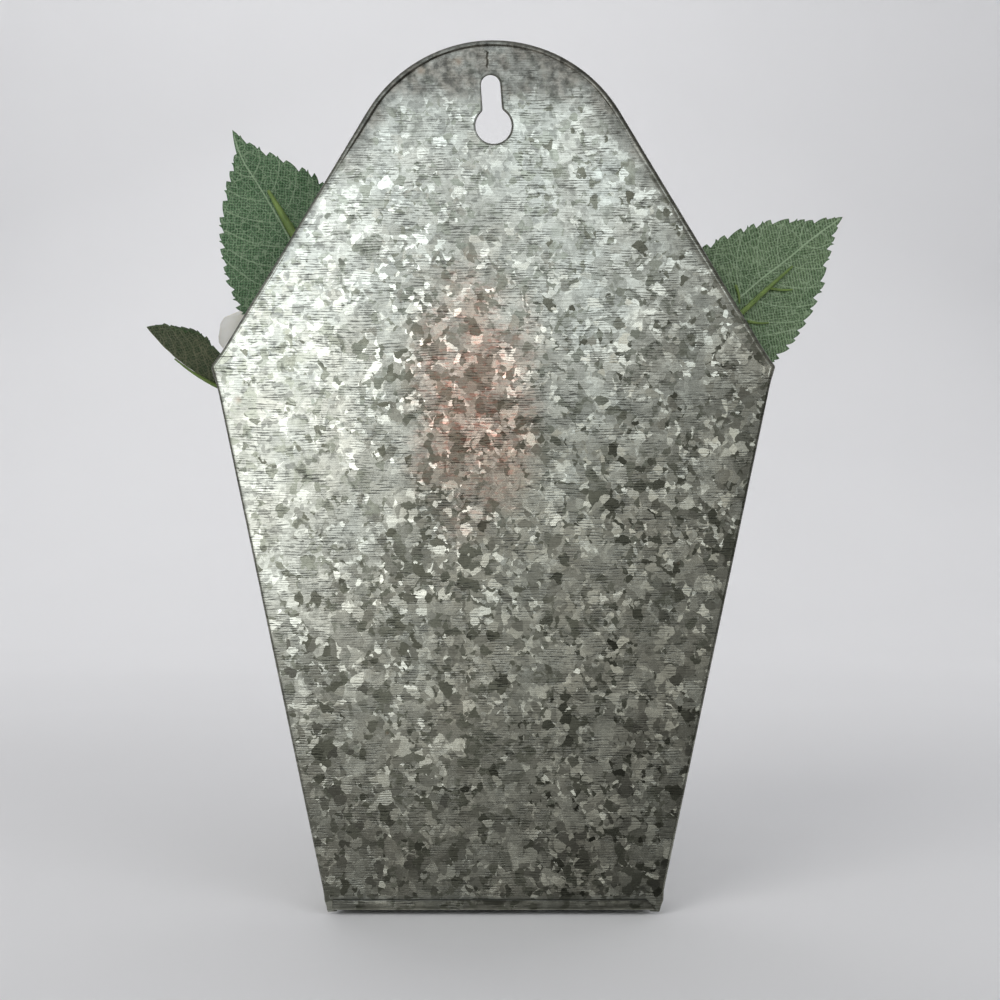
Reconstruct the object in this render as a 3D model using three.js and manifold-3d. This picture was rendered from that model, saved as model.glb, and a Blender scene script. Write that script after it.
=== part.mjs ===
// Wall planter in spangled galvanised sheet: a flat back panel with a rounded top and a
// keyhole hanger, a half-cone front shell with a wired rim, and a folded bottom panel.
// A lift-out arrangement of three fabric roses with leaf sprays stands in a foam plug.
// Millimetres, +Z up, X to the right seen from the front, +Y towards the wall.
// Origin: centre line of the back panel, on the wall plane, at the height of the
// screw seat at the top of the keyhole.
import * as THREE from "three";
import { mergeVertices } from "three/addons/utils/BufferGeometryUtils.js";
import Module from "manifold-3d";

const wasm = await Module();
wasm.setup();

// ---------------------------------------------------------------- driving dimensions
const SHEET = 0.55; // sheet thickness
const SEAM_GAP = 0.1; // air between two layers of a folded seam
const Z_TOP = 14.8; // top of the arch
const R_ARCH = 48.84; // radius of the arch
const X_CORNER = 92.7; // half width at the shoulder corners
const Z_CORNER = -92.9; // height of the shoulder corners, which is the rim of the pocket
const X_FOOT = 54.8; // half width at the bottom
const Z_FOOT = -273.1; // lowest point, the corners of the back panel
const Z_BASE = -272.5; // underside of the bottom panel
const DEPTH_RIM = 83.5; // pocket depth at the rim
const DEPTH_FOOT = 51.5; // pocket depth at the bottom
const Y_PANEL = -(SHEET + SEAM_GAP); // rear face of the back panel
const STRIP_TOP = -268.7; // top edge of the strip folded up over the back panel
const HEM = 3.0; // width of the side hems, folded forward round the shell's flanges
const INSET = 3.3; // the shell's wall stands this far in from the edge of the back
const Y_FLANGE = Y_PANEL - SHEET - SEAM_GAP; // rear face of the shell's flanges
const HOLE_R = 6.0; // keyhole: entry hole radius
const SLOT_R = 3.2; // keyhole: half width of the slot
const HOLE_AT = [0.0, -13.6]; // keyhole: centre of the entry hole
const SEAT_AT = [1.0, 0.0]; // keyhole: centre of the screw seat, punched a little off plumb
const ARCH_BEAD = { out: 1.3, in: 0.75, wire: 0.5 }; // rolled top edge round its wire
const Y_BEAD = -1.55; // centre line of the rolled top edge, a little proud of the panel's rear
const RIM_BEAD = { out: 1.2, in: 0.65, wire: 0.4 }; // rolled rim round its wire
const FOAM_TOP = -228;
const STEM_R = 1.8;
const LEAF_T = 0.8; // thickness of the plain leaf solids

// ---------------------------------------------------------------- materials
const galvanised = (c = 0x9aa09a) => new THREE.MeshStandardMaterial({ color: c, roughness: 0.38, metalness: 0.9 });
const M = {
  panel: galvanised(0x9a9f98),
  shell: galvanised(0x8f948e),
  base: galvanised(0x80857e),
  wire: new THREE.MeshStandardMaterial({ color: 0x6c706b, roughness: 0.45, metalness: 0.9 }),
  leaf: new THREE.MeshStandardMaterial({ color: 0x4a6b4a, roughness: 0.85, metalness: 0 }),
  twig: new THREE.MeshStandardMaterial({ color: 0x5d7325, roughness: 0.5, metalness: 0 }),
  stem: new THREE.MeshStandardMaterial({ color: 0x4c6a2c, roughness: 0.55, metalness: 0 }),
  petal: new THREE.MeshStandardMaterial({ color: 0xe9e4d2, roughness: 0.9, metalness: 0 }),
  foam: new THREE.MeshStandardMaterial({ color: 0x3f5a3a, roughness: 0.95, metalness: 0 }),
};

// ---------------------------------------------------------------- helpers
const V = (x, y, z) => new THREE.Vector3(x, y, z);

// A closed geometry from vertices and triangles, turned to face outwards.
function closed(verts, tris) {
  let vol = 0;
  for (let i = 0; i < tris.length; i += 3) {
    const a = verts[tris[i]], b = verts[tris[i + 1]], c = verts[tris[i + 2]];
    vol += a.dot(b.clone().cross(c));
  }
  if (vol < 0) for (let i = 0; i < tris.length; i += 3) [tris[i + 1], tris[i + 2]] = [tris[i + 2], tris[i + 1]];
  const g = new THREE.BufferGeometry();
  g.setAttribute("position", new THREE.Float32BufferAttribute(verts.flatMap((v) => [v.x, v.y, v.z]), 3));
  g.setIndex(tris);
  return g;
}

// Skin over rings of equal length; capOutline is the 2-D outline that the end caps are cut from.
function loft(rings, capOutline) {
  const n = rings[0].length, verts = rings.flat(), tris = [];
  for (let i = 0; i + 1 < rings.length; i++)
    for (let j = 0; j < n; j++) {
      const a = i * n + j, b = i * n + ((j + 1) % n), c = a + n, d = b + n;
      tris.push(a, b, d, a, d, c);
    }
  const cap = THREE.ShapeUtils.triangulateShape(capOutline.map((p) => new THREE.Vector2(p[0], p[1])), []);
  const ccw = !THREE.ShapeUtils.isClockWise(capOutline.map((p) => new THREE.Vector2(p[0], p[1])));
  const last = (rings.length - 1) * n;
  for (const [a, b, c] of cap) {
    if (ccw) {
      tris.push(a, c, b);
      tris.push(last + a, last + b, last + c);
    } else {
      tris.push(a, b, c);
      tris.push(last + a, last + c, last + b);
    }
  }
  return fixCaps(verts, tris, n, rings.length, cap);
}

// Caps must run against the side skin; both ways are tried and the closed one is kept.
function fixCaps(verts, tris, n, m, cap) {
  const side = tris.slice(0, (m - 1) * n * 6), last = (m - 1) * n;
  for (const flip of [false, true]) {
    const t = [...side];
    for (const [a, b, c] of cap) {
      if (flip) t.push(a, b, c, last + a, last + c, last + b);
      else t.push(a, c, b, last + a, last + b, last + c);
    }
    const edges = new Map();
    let bad = false;
    for (let i = 0; i < t.length && !bad; i += 3)
      for (const [p, q] of [[t[i], t[i + 1]], [t[i + 1], t[i + 2]], [t[i + 2], t[i]]]) {
        const k = p + "_" + q;
        if (edges.has(k)) bad = true;
        edges.set(k, 1);
      }
    if (!bad) return closed(verts, t);
  }
  throw new Error("the caps don't close");
}

// Sweep of a 2-D profile through frames {o, u, v}.
const sweep = (frames, profile) =>
  loft(frames.map((f) => profile.map(([a, b]) => f.o.clone().addScaledVector(f.u, a).addScaledVector(f.v, b))), profile);

const circle = (r, n, phase = 0) => Array.from({ length: n }, (_, i) => {
  const t = phase + (2 * Math.PI * i) / n;
  return [r * Math.cos(t), r * Math.sin(t)];
});

// Frames along a smooth curve, carried without twist.
function framesAlong(points, steps, startAt = 0, endAt = 1) {
  const curve = points.length > 2 ? new THREE.CatmullRomCurve3(points, false, "centripetal") : new THREE.LineCurve3(...points);
  const out = [];
  let u = null;
  for (let i = 0; i <= steps; i++) {
    const s = startAt + ((endAt - startAt) * i) / steps;
    const o = curve.getPointAt(s), t = curve.getTangentAt(s);
    if (!u) u = Math.abs(t.y) < 0.9 ? V(0, 1, 0).cross(t).normalize() : V(1, 0, 0).cross(t).normalize();
    u = u.clone().addScaledVector(t, -u.dot(t)).normalize();
    out.push({ o, u, v: t.clone().cross(u).normalize(), t });
  }
  return out;
}

const tube = (points, r0, r1, steps, sides = 8) => {
  const f = framesAlong(points, steps);
  const rings = f.map((k, i) => {
    const r = r0 + ((r1 - r0) * i) / steps;
    return circle(r, sides).map(([a, b]) => k.o.clone().addScaledVector(k.u, a).addScaledVector(k.v, b));
  });
  return loft(rings, circle(1, sides));
};

function solid(g) {
  let k = g.index ? g.toNonIndexed() : g.clone();
  for (const name of Object.keys(k.attributes)) if (name !== "position") k.deleteAttribute(name);
  k = mergeVertices(k, 1e-4);
  return new wasm.Manifold(new wasm.Mesh({ numProp: 3, vertProperties: new Float32Array(k.attributes.position.array), triVerts: new Uint32Array(k.index.array) }));
}

function geometry(m) {
  const k = m.getMesh(), n = k.numProp, p = new Float32Array(k.numVert * 3);
  for (let i = 0; i < k.numVert; i++) p.set(k.vertProperties.subarray(i * n, i * n + 3), i * 3);
  const g = new THREE.BufferGeometry();
  g.setAttribute("position", new THREE.BufferAttribute(p, 3));
  g.setIndex(new THREE.BufferAttribute(new Uint32Array(k.triVerts), 1));
  return g;
}

const join = (...gs) => geometry(gs.map(solid).reduce((a, b) => a.add(b)));

// Flat sheet: an outline in X and Z, from y = rear to y = rear - thick.
function plate(outline, rear, thick, holes = []) {
  const s = new THREE.Shape(outline.map((p) => new THREE.Vector2(p[0], p[1])));
  for (const h of holes) s.holes.push(new THREE.Path(h.map((p) => new THREE.Vector2(p[0], p[1]))));
  return new THREE.ExtrudeGeometry(s, { depth: thick, bevelEnabled: false, steps: 1 }).rotateX(Math.PI / 2).translate(0, rear, 0);
}

// Lathe about an axis that starts at p and runs along n.
function lathe(profile, p, n, segments = 18) {
  const g = new THREE.LatheGeometry(profile.map(([r, h]) => new THREE.Vector2(Math.max(r, 0), h)), segments);
  for (const name of ["normal", "uv"]) g.deleteAttribute(name);
  const k = mergeVertices(g, 1e-4);
  const pos = k.attributes.position, verts = [], tris = [];
  const q = new THREE.Quaternion().setFromUnitVectors(V(0, 1, 0), n.clone().normalize());
  for (let i = 0; i < pos.count; i++) verts.push(V(pos.getX(i), pos.getY(i), pos.getZ(i)).applyQuaternion(q).add(p));
  for (let i = 0; i < k.index.count; i += 3) {
    const [a, b, c] = [k.index.getX(i), k.index.getX(i + 1), k.index.getX(i + 2)];
    if (a !== b && b !== c && a !== c) tris.push(a, b, c);
  }
  return closed(verts, tris);
}

const planter = new THREE.Group();
const arrangement = new THREE.Group();
function add(group, name, geo, material) {
  const m = new THREE.Mesh(geo, material);
  m.name = name;
  group.add(m);
}

// ---------------------------------------------------------------- outline of the back
const arcCentre = [0, Z_TOP - R_ARCH];
// Point where the shoulder line from the corner touches the arch.
const tangentAngle = (() => {
  const dx = X_CORNER - arcCentre[0], dz = Z_CORNER - arcCentre[1];
  const d = Math.hypot(dx, dz);
  return Math.atan2(dz, dx) + Math.acos(R_ARCH / d);
})();
const shoulderDir = (() => {
  const tx = arcCentre[0] + R_ARCH * Math.cos(tangentAngle), tz = arcCentre[1] + R_ARCH * Math.sin(tangentAngle);
  const l = Math.hypot(X_CORNER - tx, Z_CORNER - tz);
  return [(X_CORNER - tx) / l, (Z_CORNER - tz) / l];
})();
// Half width of the outline at a height on the straight sides.
const sideX = (z) => X_FOOT + ((z - Z_FOOT) / (Z_CORNER - Z_FOOT)) * (X_CORNER - X_FOOT);

// The shoulders and arch from +X to -X, moved in by `inset`, the ends `short` before the corners.
function upperPath(inset, short, arcSteps, lineSteps = 1) {
  const pts = [], r = R_ARCH - inset, n = [Math.cos(tangentAngle), Math.sin(tangentAngle)];
  const t = [arcCentre[0] + r * n[0], arcCentre[1] + r * n[1]];
  const len = Math.hypot(X_CORNER - (arcCentre[0] + R_ARCH * n[0]), Z_CORNER - (arcCentre[1] + R_ARCH * n[1])) - short;
  for (let i = 0; i < lineSteps; i++) {
    const k = len * (1 - i / lineSteps);
    pts.push({ p: [t[0] + shoulderDir[0] * k, t[1] + shoulderDir[1] * k], n });
  }
  for (let i = 0; i <= arcSteps; i++) {
    const a = tangentAngle + ((Math.PI - 2 * tangentAngle) * i) / arcSteps;
    pts.push({ p: [arcCentre[0] + r * Math.cos(a), arcCentre[1] + r * Math.sin(a)], n: [Math.cos(a), Math.sin(a)] });
  }
  for (let i = lineSteps - 1; i >= 0; i--) {
    const q = pts[i];
    pts.push({ p: [-q.p[0], q.p[1]], n: [-q.n[0], q.n[1]] });
  }
  return pts;
}

// A rolled bead's section, a ring with a slit between the two angles.
function beadProfile(b, from, to, steps) {
  const out = [], inn = [];
  for (let i = 0; i <= steps; i++) {
    const a = ((from + ((to - from) * i) / steps) * Math.PI) / 180;
    out.push([b.out * Math.cos(a), b.out * Math.sin(a)]);
    inn.push([b.in * Math.cos(a), b.in * Math.sin(a)]);
  }
  return [...out, ...inn.reverse()];
}

// ---------------------------------------------------------------- back panel
{
  const edge = upperPath(ARCH_BEAD.out + 0.9, 1.6, 20);
  const upper = edge.map((e) => e.p), zs = -95.2, tab = X_FOOT - HEM - 0.2, zIn = Z_BASE + SHEET + SEAM_GAP;
  const corner = (s) => [[s * 90.2, -91.4], [s * (X_CORNER - 0.5), Z_CORNER - 0.1], [s * X_CORNER, Z_CORNER - 0.9], [s * sideX(zs), zs]];
  const foot = (s) => [[s * sideX(Z_FOOT + 0.8), Z_FOOT + 0.8], [s * (X_FOOT - 0.25), Z_FOOT + 0.2], [s * (X_FOOT - 0.8), Z_FOOT], [s * (tab + 1.2), Z_FOOT + 0.25], [s * tab, Z_FOOT + 0.6], [s * tab, zIn]];
  const outline = [...upper, ...corner(-1), ...foot(-1), ...foot(1).reverse(), ...corner(1).reverse()];
  // keyhole
  const d = [SEAT_AT[0] - HOLE_AT[0], SEAT_AT[1] - HOLE_AT[1]], len = Math.hypot(...d);
  const up = [d[0] / len, d[1] / len], across = [up[1], -up[0]];
  const at = (p, q) => [HOLE_AT[0] + up[0] * p + across[0] * q, HOLE_AT[1] + up[1] * p + across[1] * q];
  const hole = [], a0 = Math.asin((SLOT_R + 0.05) / HOLE_R);
  for (let i = 0; i <= 18; i++) {
    const a = a0 + ((2 * Math.PI - 2 * a0) * i) / 18;
    hole.push(at(HOLE_R * Math.cos(a), HOLE_R * Math.sin(a)));
  }
  for (let i = 0; i <= 8; i++) {
    const a = Math.PI + (Math.PI * i) / 8;
    hole.push(at(len - SLOT_R * Math.sin(a), SLOT_R * Math.cos(a)));
  }
  const flat = plate(outline, Y_PANEL, SHEET, [hole]);
  // side hems: a web round the flange's edge and a leg in front of it
  const hem = (s) => {
    const section = (z) => {
      const x = sideX(z), y1 = Y_PANEL - 0.1, y3 = Y_FLANGE - SHEET - SEAM_GAP, y4 = y3 - SHEET;
      return [[x, y1], [x, y4 + 0.2], [x - 0.2, y4], [x - HEM, y4], [x - HEM, y3], [x - SHEET, y3], [x - SHEET, y1]].map(([p, q]) => [s * p, q]);
    };
    const zs2 = [Z_FOOT + 0.8, -96];
    return loft(zs2.map((z) => section(z).map((p) => V(p[0], p[1], z))), section(-96));
  };
  const path = upperPath(ARCH_BEAD.out, 2.4, 20, 2);
  const rail = (list) => list.map((e) => ({ o: V(e.p[0], Y_BEAD, e.p[1]), u: V(e.n[0], 0, e.n[1]), v: V(0, 1, 0) }));
  add(planter, "back_panel", join(flat, hem(1), hem(-1), sweep(rail(path), beadProfile(ARCH_BEAD, 178, -140, 12))), M.panel);
  add(planter, "top_edge_wire", sweep(rail(upperPath(ARCH_BEAD.out, 4.0, 16, 1)), circle(ARCH_BEAD.wire, 6)), M.wire);
}

// ---------------------------------------------------------------- front shell
const shellA = (z) => sideX(z) - INSET;
const shellB = (z) => DEPTH_FOOT + ((z - Z_FOOT) / (Z_CORNER - Z_FOOT)) * (DEPTH_RIM - DEPTH_FOOT);
const N_SHELL = 26;
// Points round the half ellipse at a height, `grow` outside the wall, from +X to -X, starting at depth y0.
function shellArc(z, grow, y0, n = N_SHELL) {
  const a = shellA(z) + grow, b = shellB(z) + Y_FLANGE + grow, s0 = Math.asin(Math.min(1, (Y_FLANGE - y0) / b));
  return Array.from({ length: n + 1 }, (_, i) => {
    const t = s0 + ((Math.PI - 2 * s0) * i) / n;
    return [a * Math.cos(t), Y_FLANGE - b * Math.sin(t)];
  });
}
const zRim = Z_CORNER - RIM_BEAD.out;
{
  const levels = [Z_BASE + SHEET + SEAM_GAP, zRim - 0.8];
  const ring = (z) => {
    const tip = sideX(z) - SHEET - 0.2;
    return [[tip, Y_FLANGE], [tip, Y_FLANGE - SHEET], ...shellArc(z, 0, Y_FLANGE - SHEET), [-tip, Y_FLANGE - SHEET], [-tip, Y_FLANGE], ...shellArc(z, -SHEET, Y_FLANGE).reverse()];
  };
  const rings = levels.map(ring);
  const wall = loft(rings.map((r, i) => r.map((p) => V(p[0], p[1], levels[i]))), rings[0]);
  // rolled rim, centred on the sheet
  const a = shellA(zRim) - SHEET / 2, b = shellB(zRim) + Y_FLANGE - SHEET / 2, frames = [];
  for (let i = 0; i <= 30; i++) {
    const t = 0.0015 + ((Math.PI - 0.003) * i) / 30;
    const u = V(Math.cos(t) / a, -Math.sin(t) / b, 0).normalize();
    frames.push({ o: V(a * Math.cos(t), Y_FLANGE - b * Math.sin(t), zRim), u, v: V(0, 0, 1) });
  }
  const bead = sweep(frames, beadProfile(RIM_BEAD, 285, -45, 12));
  add(planter, "front_shell", join(wall, bead), M.shell);
  add(planter, "rim_wire", sweep(frames.slice(1, -1), circle(RIM_BEAD.wire, 6)), M.wire);
}

// ---------------------------------------------------------------- bottom panel
{
  const yRear = Y_FLANGE - 2 * SHEET - SEAM_GAP - 0.15, xTab = X_FOOT - HEM - 0.6, grow = SEAM_GAP + SHEET;
  const strip = [[53.4, Z_BASE], [52.9, STRIP_TOP - 0.2], [-50.4, STRIP_TOP], [-53.3, Z_BASE]];
  const arc = shellArc(Z_BASE, grow, yRear);
  const outline = [[53.4, 0], [53.4, -SHEET], [xTab, -SHEET], [xTab, yRear], ...arc, [-xTab, yRear], [-xTab, -SHEET], [-53.3, -SHEET], [-53.3, 0]];
  const s = new THREE.Shape(outline.map((p) => new THREE.Vector2(p[0], p[1])));
  const disc = new THREE.ExtrudeGeometry(s, { depth: SHEET, bevelEnabled: false, steps: 1 }).translate(0, 0, Z_BASE);
  const levels = [Z_BASE + 0.1, STRIP_TOP];
  const walls = levels.map((z) => [...shellArc(z, grow, yRear), ...shellArc(z, SEAM_GAP, yRear).reverse()]);
  const flange = loft(walls.map((r, i) => r.map((p) => V(p[0], p[1], levels[i]))), walls[0]);
  add(planter, "bottom_panel", join(disc, flange, plate([...strip].reverse(), 0, SHEET)), M.base);
}

// ---------------------------------------------------------------- the arrangement
const roses = [
  { name: "left", p: V(62, -44, -76), n: V(0.3, -0.72, 0.62).normalize(), k: 1.0 },
  { name: "centre", p: V(0, -42, -60), n: V(0.0, -0.72, 0.69).normalize(), k: 0.92 },
  { name: "right", p: V(-60, -44, -76), n: V(-0.3, -0.72, 0.62).normalize(), k: 1.0 },
];
const stemPaths = {
  left: [V(17, -11.5, -264), V(19, -11.5, -230), V(38, -11, -165), V(51, -12, -122), V(55.5, -22, -99)],
  centre: [V(0, -11.5, -264), V(0, -11.5, -230), V(0, -11, -165), V(0, -12.5, -115), V(0, -22, -88)],
  right: [V(-17, -11.5, -264), V(-19, -11.5, -230), V(-38, -11, -165), V(-51, -12, -122), V(-55.5, -22, -99)],
};
const CALYX_H = 10;
const stemGeos = {};
for (const r of roses) {
  const end = r.p.clone().addScaledVector(r.n, -(CALYX_H + 0.4) * r.k);
  const pts = [...stemPaths[r.name], r.p.clone().addScaledVector(r.n, -(CALYX_H + 5) * r.k), end];
  stemGeos[r.name] = pts;
  add(arrangement, `rose_stem_${r.name}`, tube(pts, STEM_R, STEM_R, 18, 8), M.stem);
  const P = (list) => list.map(([a, h]) => [a * r.k, h * r.k]);
  add(arrangement, `rose_calyx_${r.name}`, lathe(P([[0, -CALYX_H], [2.1, -CALYX_H], [3.0, -7], [6.2, -3], [7.4, -0.4], [0, -0.4]]), r.p, r.n, 12), M.twig);
  add(arrangement, `rose_outer_petals_${r.name}`, lathe(P([[0, 0], [8, 0.5], [20, 3.6], [28, 8.4], [33, 13.4], [32, 14.6], [27, 10.6], [19, 5.8], [12, 2.9], [0, 2.3]]), r.p, r.n, 18), M.petal);
  add(arrangement, `rose_inner_petals_${r.name}`, lathe(P([[0, 2.8], [10, 3.4], [18.5, 8.4], [23.5, 16], [25.5, 24.5], [23.5, 24.8], [21.4, 16.6], [16.5, 10], [9, 5.6], [0, 5.2]]), r.p, r.n, 18), M.petal);
  add(arrangement, `rose_bud_${r.name}`, lathe(P([[0, 5.7], [8, 6.6], [13.8, 12], [15.4, 20], [12, 28], [6, 31], [0, 31.6]]), r.p, r.n, 16), M.petal);
}

// Half width of a leaf as a share of its length, from base (0) to tip (1).
const LEAF_W = [[0, 0.03], [0.05, 0.19], [0.1, 0.28], [0.2, 0.365], [0.28, 0.385], [0.4, 0.36], [0.5, 0.325], [0.6, 0.275], [0.7, 0.205], [0.8, 0.128], [0.9, 0.05], [0.97, 0.012], [1, 0.006]];
function leafW(s) {
  for (let i = 1; i < LEAF_W.length; i++)
    if (s <= LEAF_W[i][0]) {
      const [a, b] = [LEAF_W[i - 1], LEAF_W[i]];
      return a[1] + ((b[1] - a[1]) * (s - a[0])) / (b[0] - a[0]);
    }
  return 0;
}
// Leaf: base, tip, upper-side normal, sag of the midrib along the normal, fold of the halves in degrees.
// The plastic rib runs under the midrib, `off` mm to one side.
const leaves = [
  { name: "left_high", twig: "left", b: [62.2, -20, -70.8], t: [91.05, -30, -8.75], n: [0.1, -1, -0.1], sag: 2, fold: 6, off: -2.2 },
  { name: "left_low", twig: "left", b: [92.2, -36, -98.6], t: [120.5, -29, -76.9], n: [-0.35, -0.15, 1], sag: -2.5, fold: 38, off: 0 },
  { name: "left_front", twig: "left", b: [33, -74, -89.6], t: [35, -114, -119], n: [0, -0.6, 1], sag: 5, fold: 10, off: 0 },
  { name: "centre_left", twig: "centre", b: [22, -22, -70], t: [33, -14, -20], n: [0.1, -1, 0.05], sag: -1, fold: 10, off: 0 },
  { name: "centre_right", twig: "centre", b: [-24, -22, -72], t: [-38, -14, -23], n: [-0.1, -1, 0.05], sag: -1, fold: 10, off: 0 },
  { name: "centre_front", twig: "centre", b: [0, -76, -85], t: [-4, -124, -103], n: [0, -0.3, 1], sag: 4, fold: 16, off: 0 },
  { name: "right_high", twig: "right", b: [-65.5, -17, -78.6], t: [-120.4, -28, -39], n: [-0.12, -1, -0.1], sag: 2, fold: 6, off: 3.0 },
  { name: "right_front", twig: "right", b: [-33, -74, -89.6], t: [-38, -112, -117], n: [0, -0.6, 1], sag: 5, fold: 10, off: 0 },
  { name: "right_inner", twig: "right", b: [-42, -13, -66], t: [-24, -9, -30], n: [0, -1, 0.1], sag: 1, fold: 8, off: 0 },
];
function leafFrame(L) {
  const B = V(...L.b), T = V(...L.t), c = T.clone().sub(B), len = c.length(), t = c.clone().normalize();
  const n = V(...L.n); n.addScaledVector(t, -n.dot(t)).normalize();
  const s = n.clone().cross(t).normalize();
  return { B, T, len, t, n, s };
}
// A point on the leaf's middle surface: s from base to tip, q from -1 to 1 across; h above it.
function leafPoint(L, F, s, q, h = 0) {
  const w = leafW(s) * F.len, f = (L.fold * Math.PI) / 180, slope = (L.sag * 4 * (1 - 2 * s)) / F.len;
  const nn = F.n.clone().addScaledVector(F.t, -slope).normalize();
  return F.B.clone().addScaledVector(F.t, s * F.len).addScaledVector(F.n, L.sag * 4 * s * (1 - s))
    .addScaledVector(F.s, q * w * Math.cos(f)).addScaledVector(nn, Math.abs(q) * w * Math.sin(f) + h);
}
for (const L of leaves) {
  const F = leafFrame(L), S = [0, 0.05, 0.12, 0.22, 0.34, 0.48, 0.62, 0.76, 0.88, 1], Q = [-1, -0.5, 0, 0.5, 1];
  const verts = [], tris = [], id = (k, i, j) => (k * S.length + i) * Q.length + j;
  for (const h of [LEAF_T / 2, -LEAF_T / 2]) for (const s of S) for (const q of Q) verts.push(leafPoint(L, F, s, q, h));
  for (let i = 0; i + 1 < S.length; i++)
    for (let j = 0; j + 1 < Q.length; j++) {
      tris.push(id(0, i, j), id(0, i + 1, j), id(0, i + 1, j + 1), id(0, i, j), id(0, i + 1, j + 1), id(0, i, j + 1));
      tris.push(id(1, i, j), id(1, i + 1, j + 1), id(1, i + 1, j), id(1, i, j), id(1, i, j + 1), id(1, i + 1, j + 1));
    }
  for (let i = 0; i + 1 < S.length; i++)
    for (const j of [0, Q.length - 1]) {
      const [a, b, c, d] = [id(0, i, j), id(0, i + 1, j), id(1, i, j), id(1, i + 1, j)];
      if (j === 0) tris.push(a, d, b, a, c, d); else tris.push(a, b, d, a, d, c);
    }
  for (let j = 0; j + 1 < Q.length; j++)
    for (const i of [0, S.length - 1]) {
      const [a, b, c, d] = [id(0, i, j), id(0, i, j + 1), id(1, i, j), id(1, i, j + 1)];
      if (i === 0) tris.push(a, b, d, a, d, c); else tris.push(a, d, b, a, c, d);
    }
  add(arrangement, `leaf_${L.name}`, closed(verts, tris), M.leaf);
}

// Moulded sprigs: a collar round the rose stem, and for each leaf a stalk that runs on as its rib.
const collarAt = { left: 0.885, centre: 0.87, right: 0.885 };
const stalkVia = {
  left_high: [V(57, -24.5, -84)],
  left_low: [V(66, -27, -88.5), V(78, -32, -87.4), V(85.8, -34.8, -89.2), V(88.6, -35.7, -93.6), V(90.6, -36.4, -99.4)],
  left_front: [V(47, -38, -88), V(36, -62, -88.5)],
  centre_left: [V(9, -24, -78)],
  centre_right: [V(-9, -24, -78)],
  centre_front: [V(0, -50, -84)],
  right_high: [V(-58, -22.5, -86)],
  right_front: [V(-47, -38, -88), V(-36, -62, -88.5)],
  right_inner: [V(-51, -20, -80)],
};
for (const name of ["left", "centre", "right"]) {
  const curve = new THREE.CatmullRomCurve3(stemGeos[name], false, "centripetal");
  const at = curve.getPointAt(collarAt[name]), dir = curve.getTangentAt(collarAt[name]);
  const r0 = STEM_R + 0.35, r1 = STEM_R + 1.5;
  let twig = solid(lathe([[r0, -3], [r1, -3], [r1, 3], [r0, 3], [r0, -3]], at, dir, 12));
  for (const L of leaves.filter((l) => l.twig === name)) {
    const F = leafFrame(L), rib = (s) => leafPoint(L, F, s, 0, -(LEAF_T / 2 + 1.15)).addScaledVector(F.s, L.off * Math.min(1, s * 6));
    const first = stalkVia[L.name][0].clone().sub(at); first.addScaledVector(dir, -first.dot(dir)).normalize();
    const start = at.clone().addScaledVector(first, STEM_R + 0.95);
    const path = [start, ...stalkVia[L.name], rib(-0.03), rib(0.1), rib(0.25), rib(0.42), rib(0.6)];
    twig = twig.add(solid(tube(path, 0.85, 0.5, 14, 6)));
  }
  // keep the bore round the stem free
  const bore = framesAlong(stemGeos[name], 18).map((k) => circle(STEM_R + 0.3, 8, Math.PI / 8).map(([a, b]) => k.o.clone().addScaledVector(k.u, a * 1.08).addScaledVector(k.v, b * 1.08)));
  twig = twig.subtract(solid(loft(bore, circle(1, 8))));
  const parts = twig.decompose().sort((p, q) => q.volume() - p.volume());
  add(arrangement, `leaf_sprig_${name}`, geometry(parts[0]), M.twig);
}

// Foam plug wedged in the lower pocket, bored for the three stems.
{
  const ring = (z) => shellArc(z, -SHEET - 1.0, -3.5, 16);
  const levels = [Z_BASE + SHEET + 0.3, FOAM_TOP], rings = levels.map(ring);
  let foam = solid(loft(rings.map((r, i) => r.map((p) => V(p[0], p[1], levels[i]))), rings[0]));
  for (const name of ["left", "centre", "right"]) {
    const pts = stemGeos[name];
    const f = framesAlong(pts, 40, 0, 0.4).map((k) => circle(STEM_R + 0.5, 8).map(([a, b]) => k.o.clone().addScaledVector(k.u, a).addScaledVector(k.v, b)));
    f[0] = f[0].map((p) => p.clone().add(V(0, 0, -0.6)));
    foam = foam.subtract(solid(loft(f, circle(1, 8))));
  }
  add(arrangement, "foam_block", geometry(foam), M.foam);
}

const root = new THREE.Group();
root.add(planter, arrangement);
export default root;
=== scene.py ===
# Looks of the wall planter: spangled galvanised back, shell and base, and the lift-out
# arrangement of fabric roses. Everything is built in millimetres and scaled to metres.
import math
import random

import bpy
import numpy as np
from mathutils import Matrix, Quaternion, Vector, noise
from mathutils.geometry import delaunay_2d_cdt


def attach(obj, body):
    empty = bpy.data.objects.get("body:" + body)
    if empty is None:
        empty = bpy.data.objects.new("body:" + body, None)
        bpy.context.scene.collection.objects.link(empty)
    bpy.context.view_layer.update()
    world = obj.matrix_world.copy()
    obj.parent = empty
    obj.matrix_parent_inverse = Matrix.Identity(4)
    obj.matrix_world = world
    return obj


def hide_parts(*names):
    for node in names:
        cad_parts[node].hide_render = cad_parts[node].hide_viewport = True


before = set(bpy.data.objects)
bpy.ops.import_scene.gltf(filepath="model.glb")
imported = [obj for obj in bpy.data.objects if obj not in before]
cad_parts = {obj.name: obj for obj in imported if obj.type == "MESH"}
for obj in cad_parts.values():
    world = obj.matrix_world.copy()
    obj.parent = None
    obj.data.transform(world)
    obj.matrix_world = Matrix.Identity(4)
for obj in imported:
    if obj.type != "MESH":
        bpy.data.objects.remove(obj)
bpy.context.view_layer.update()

MM = 0.001
scene = bpy.context.scene

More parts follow.
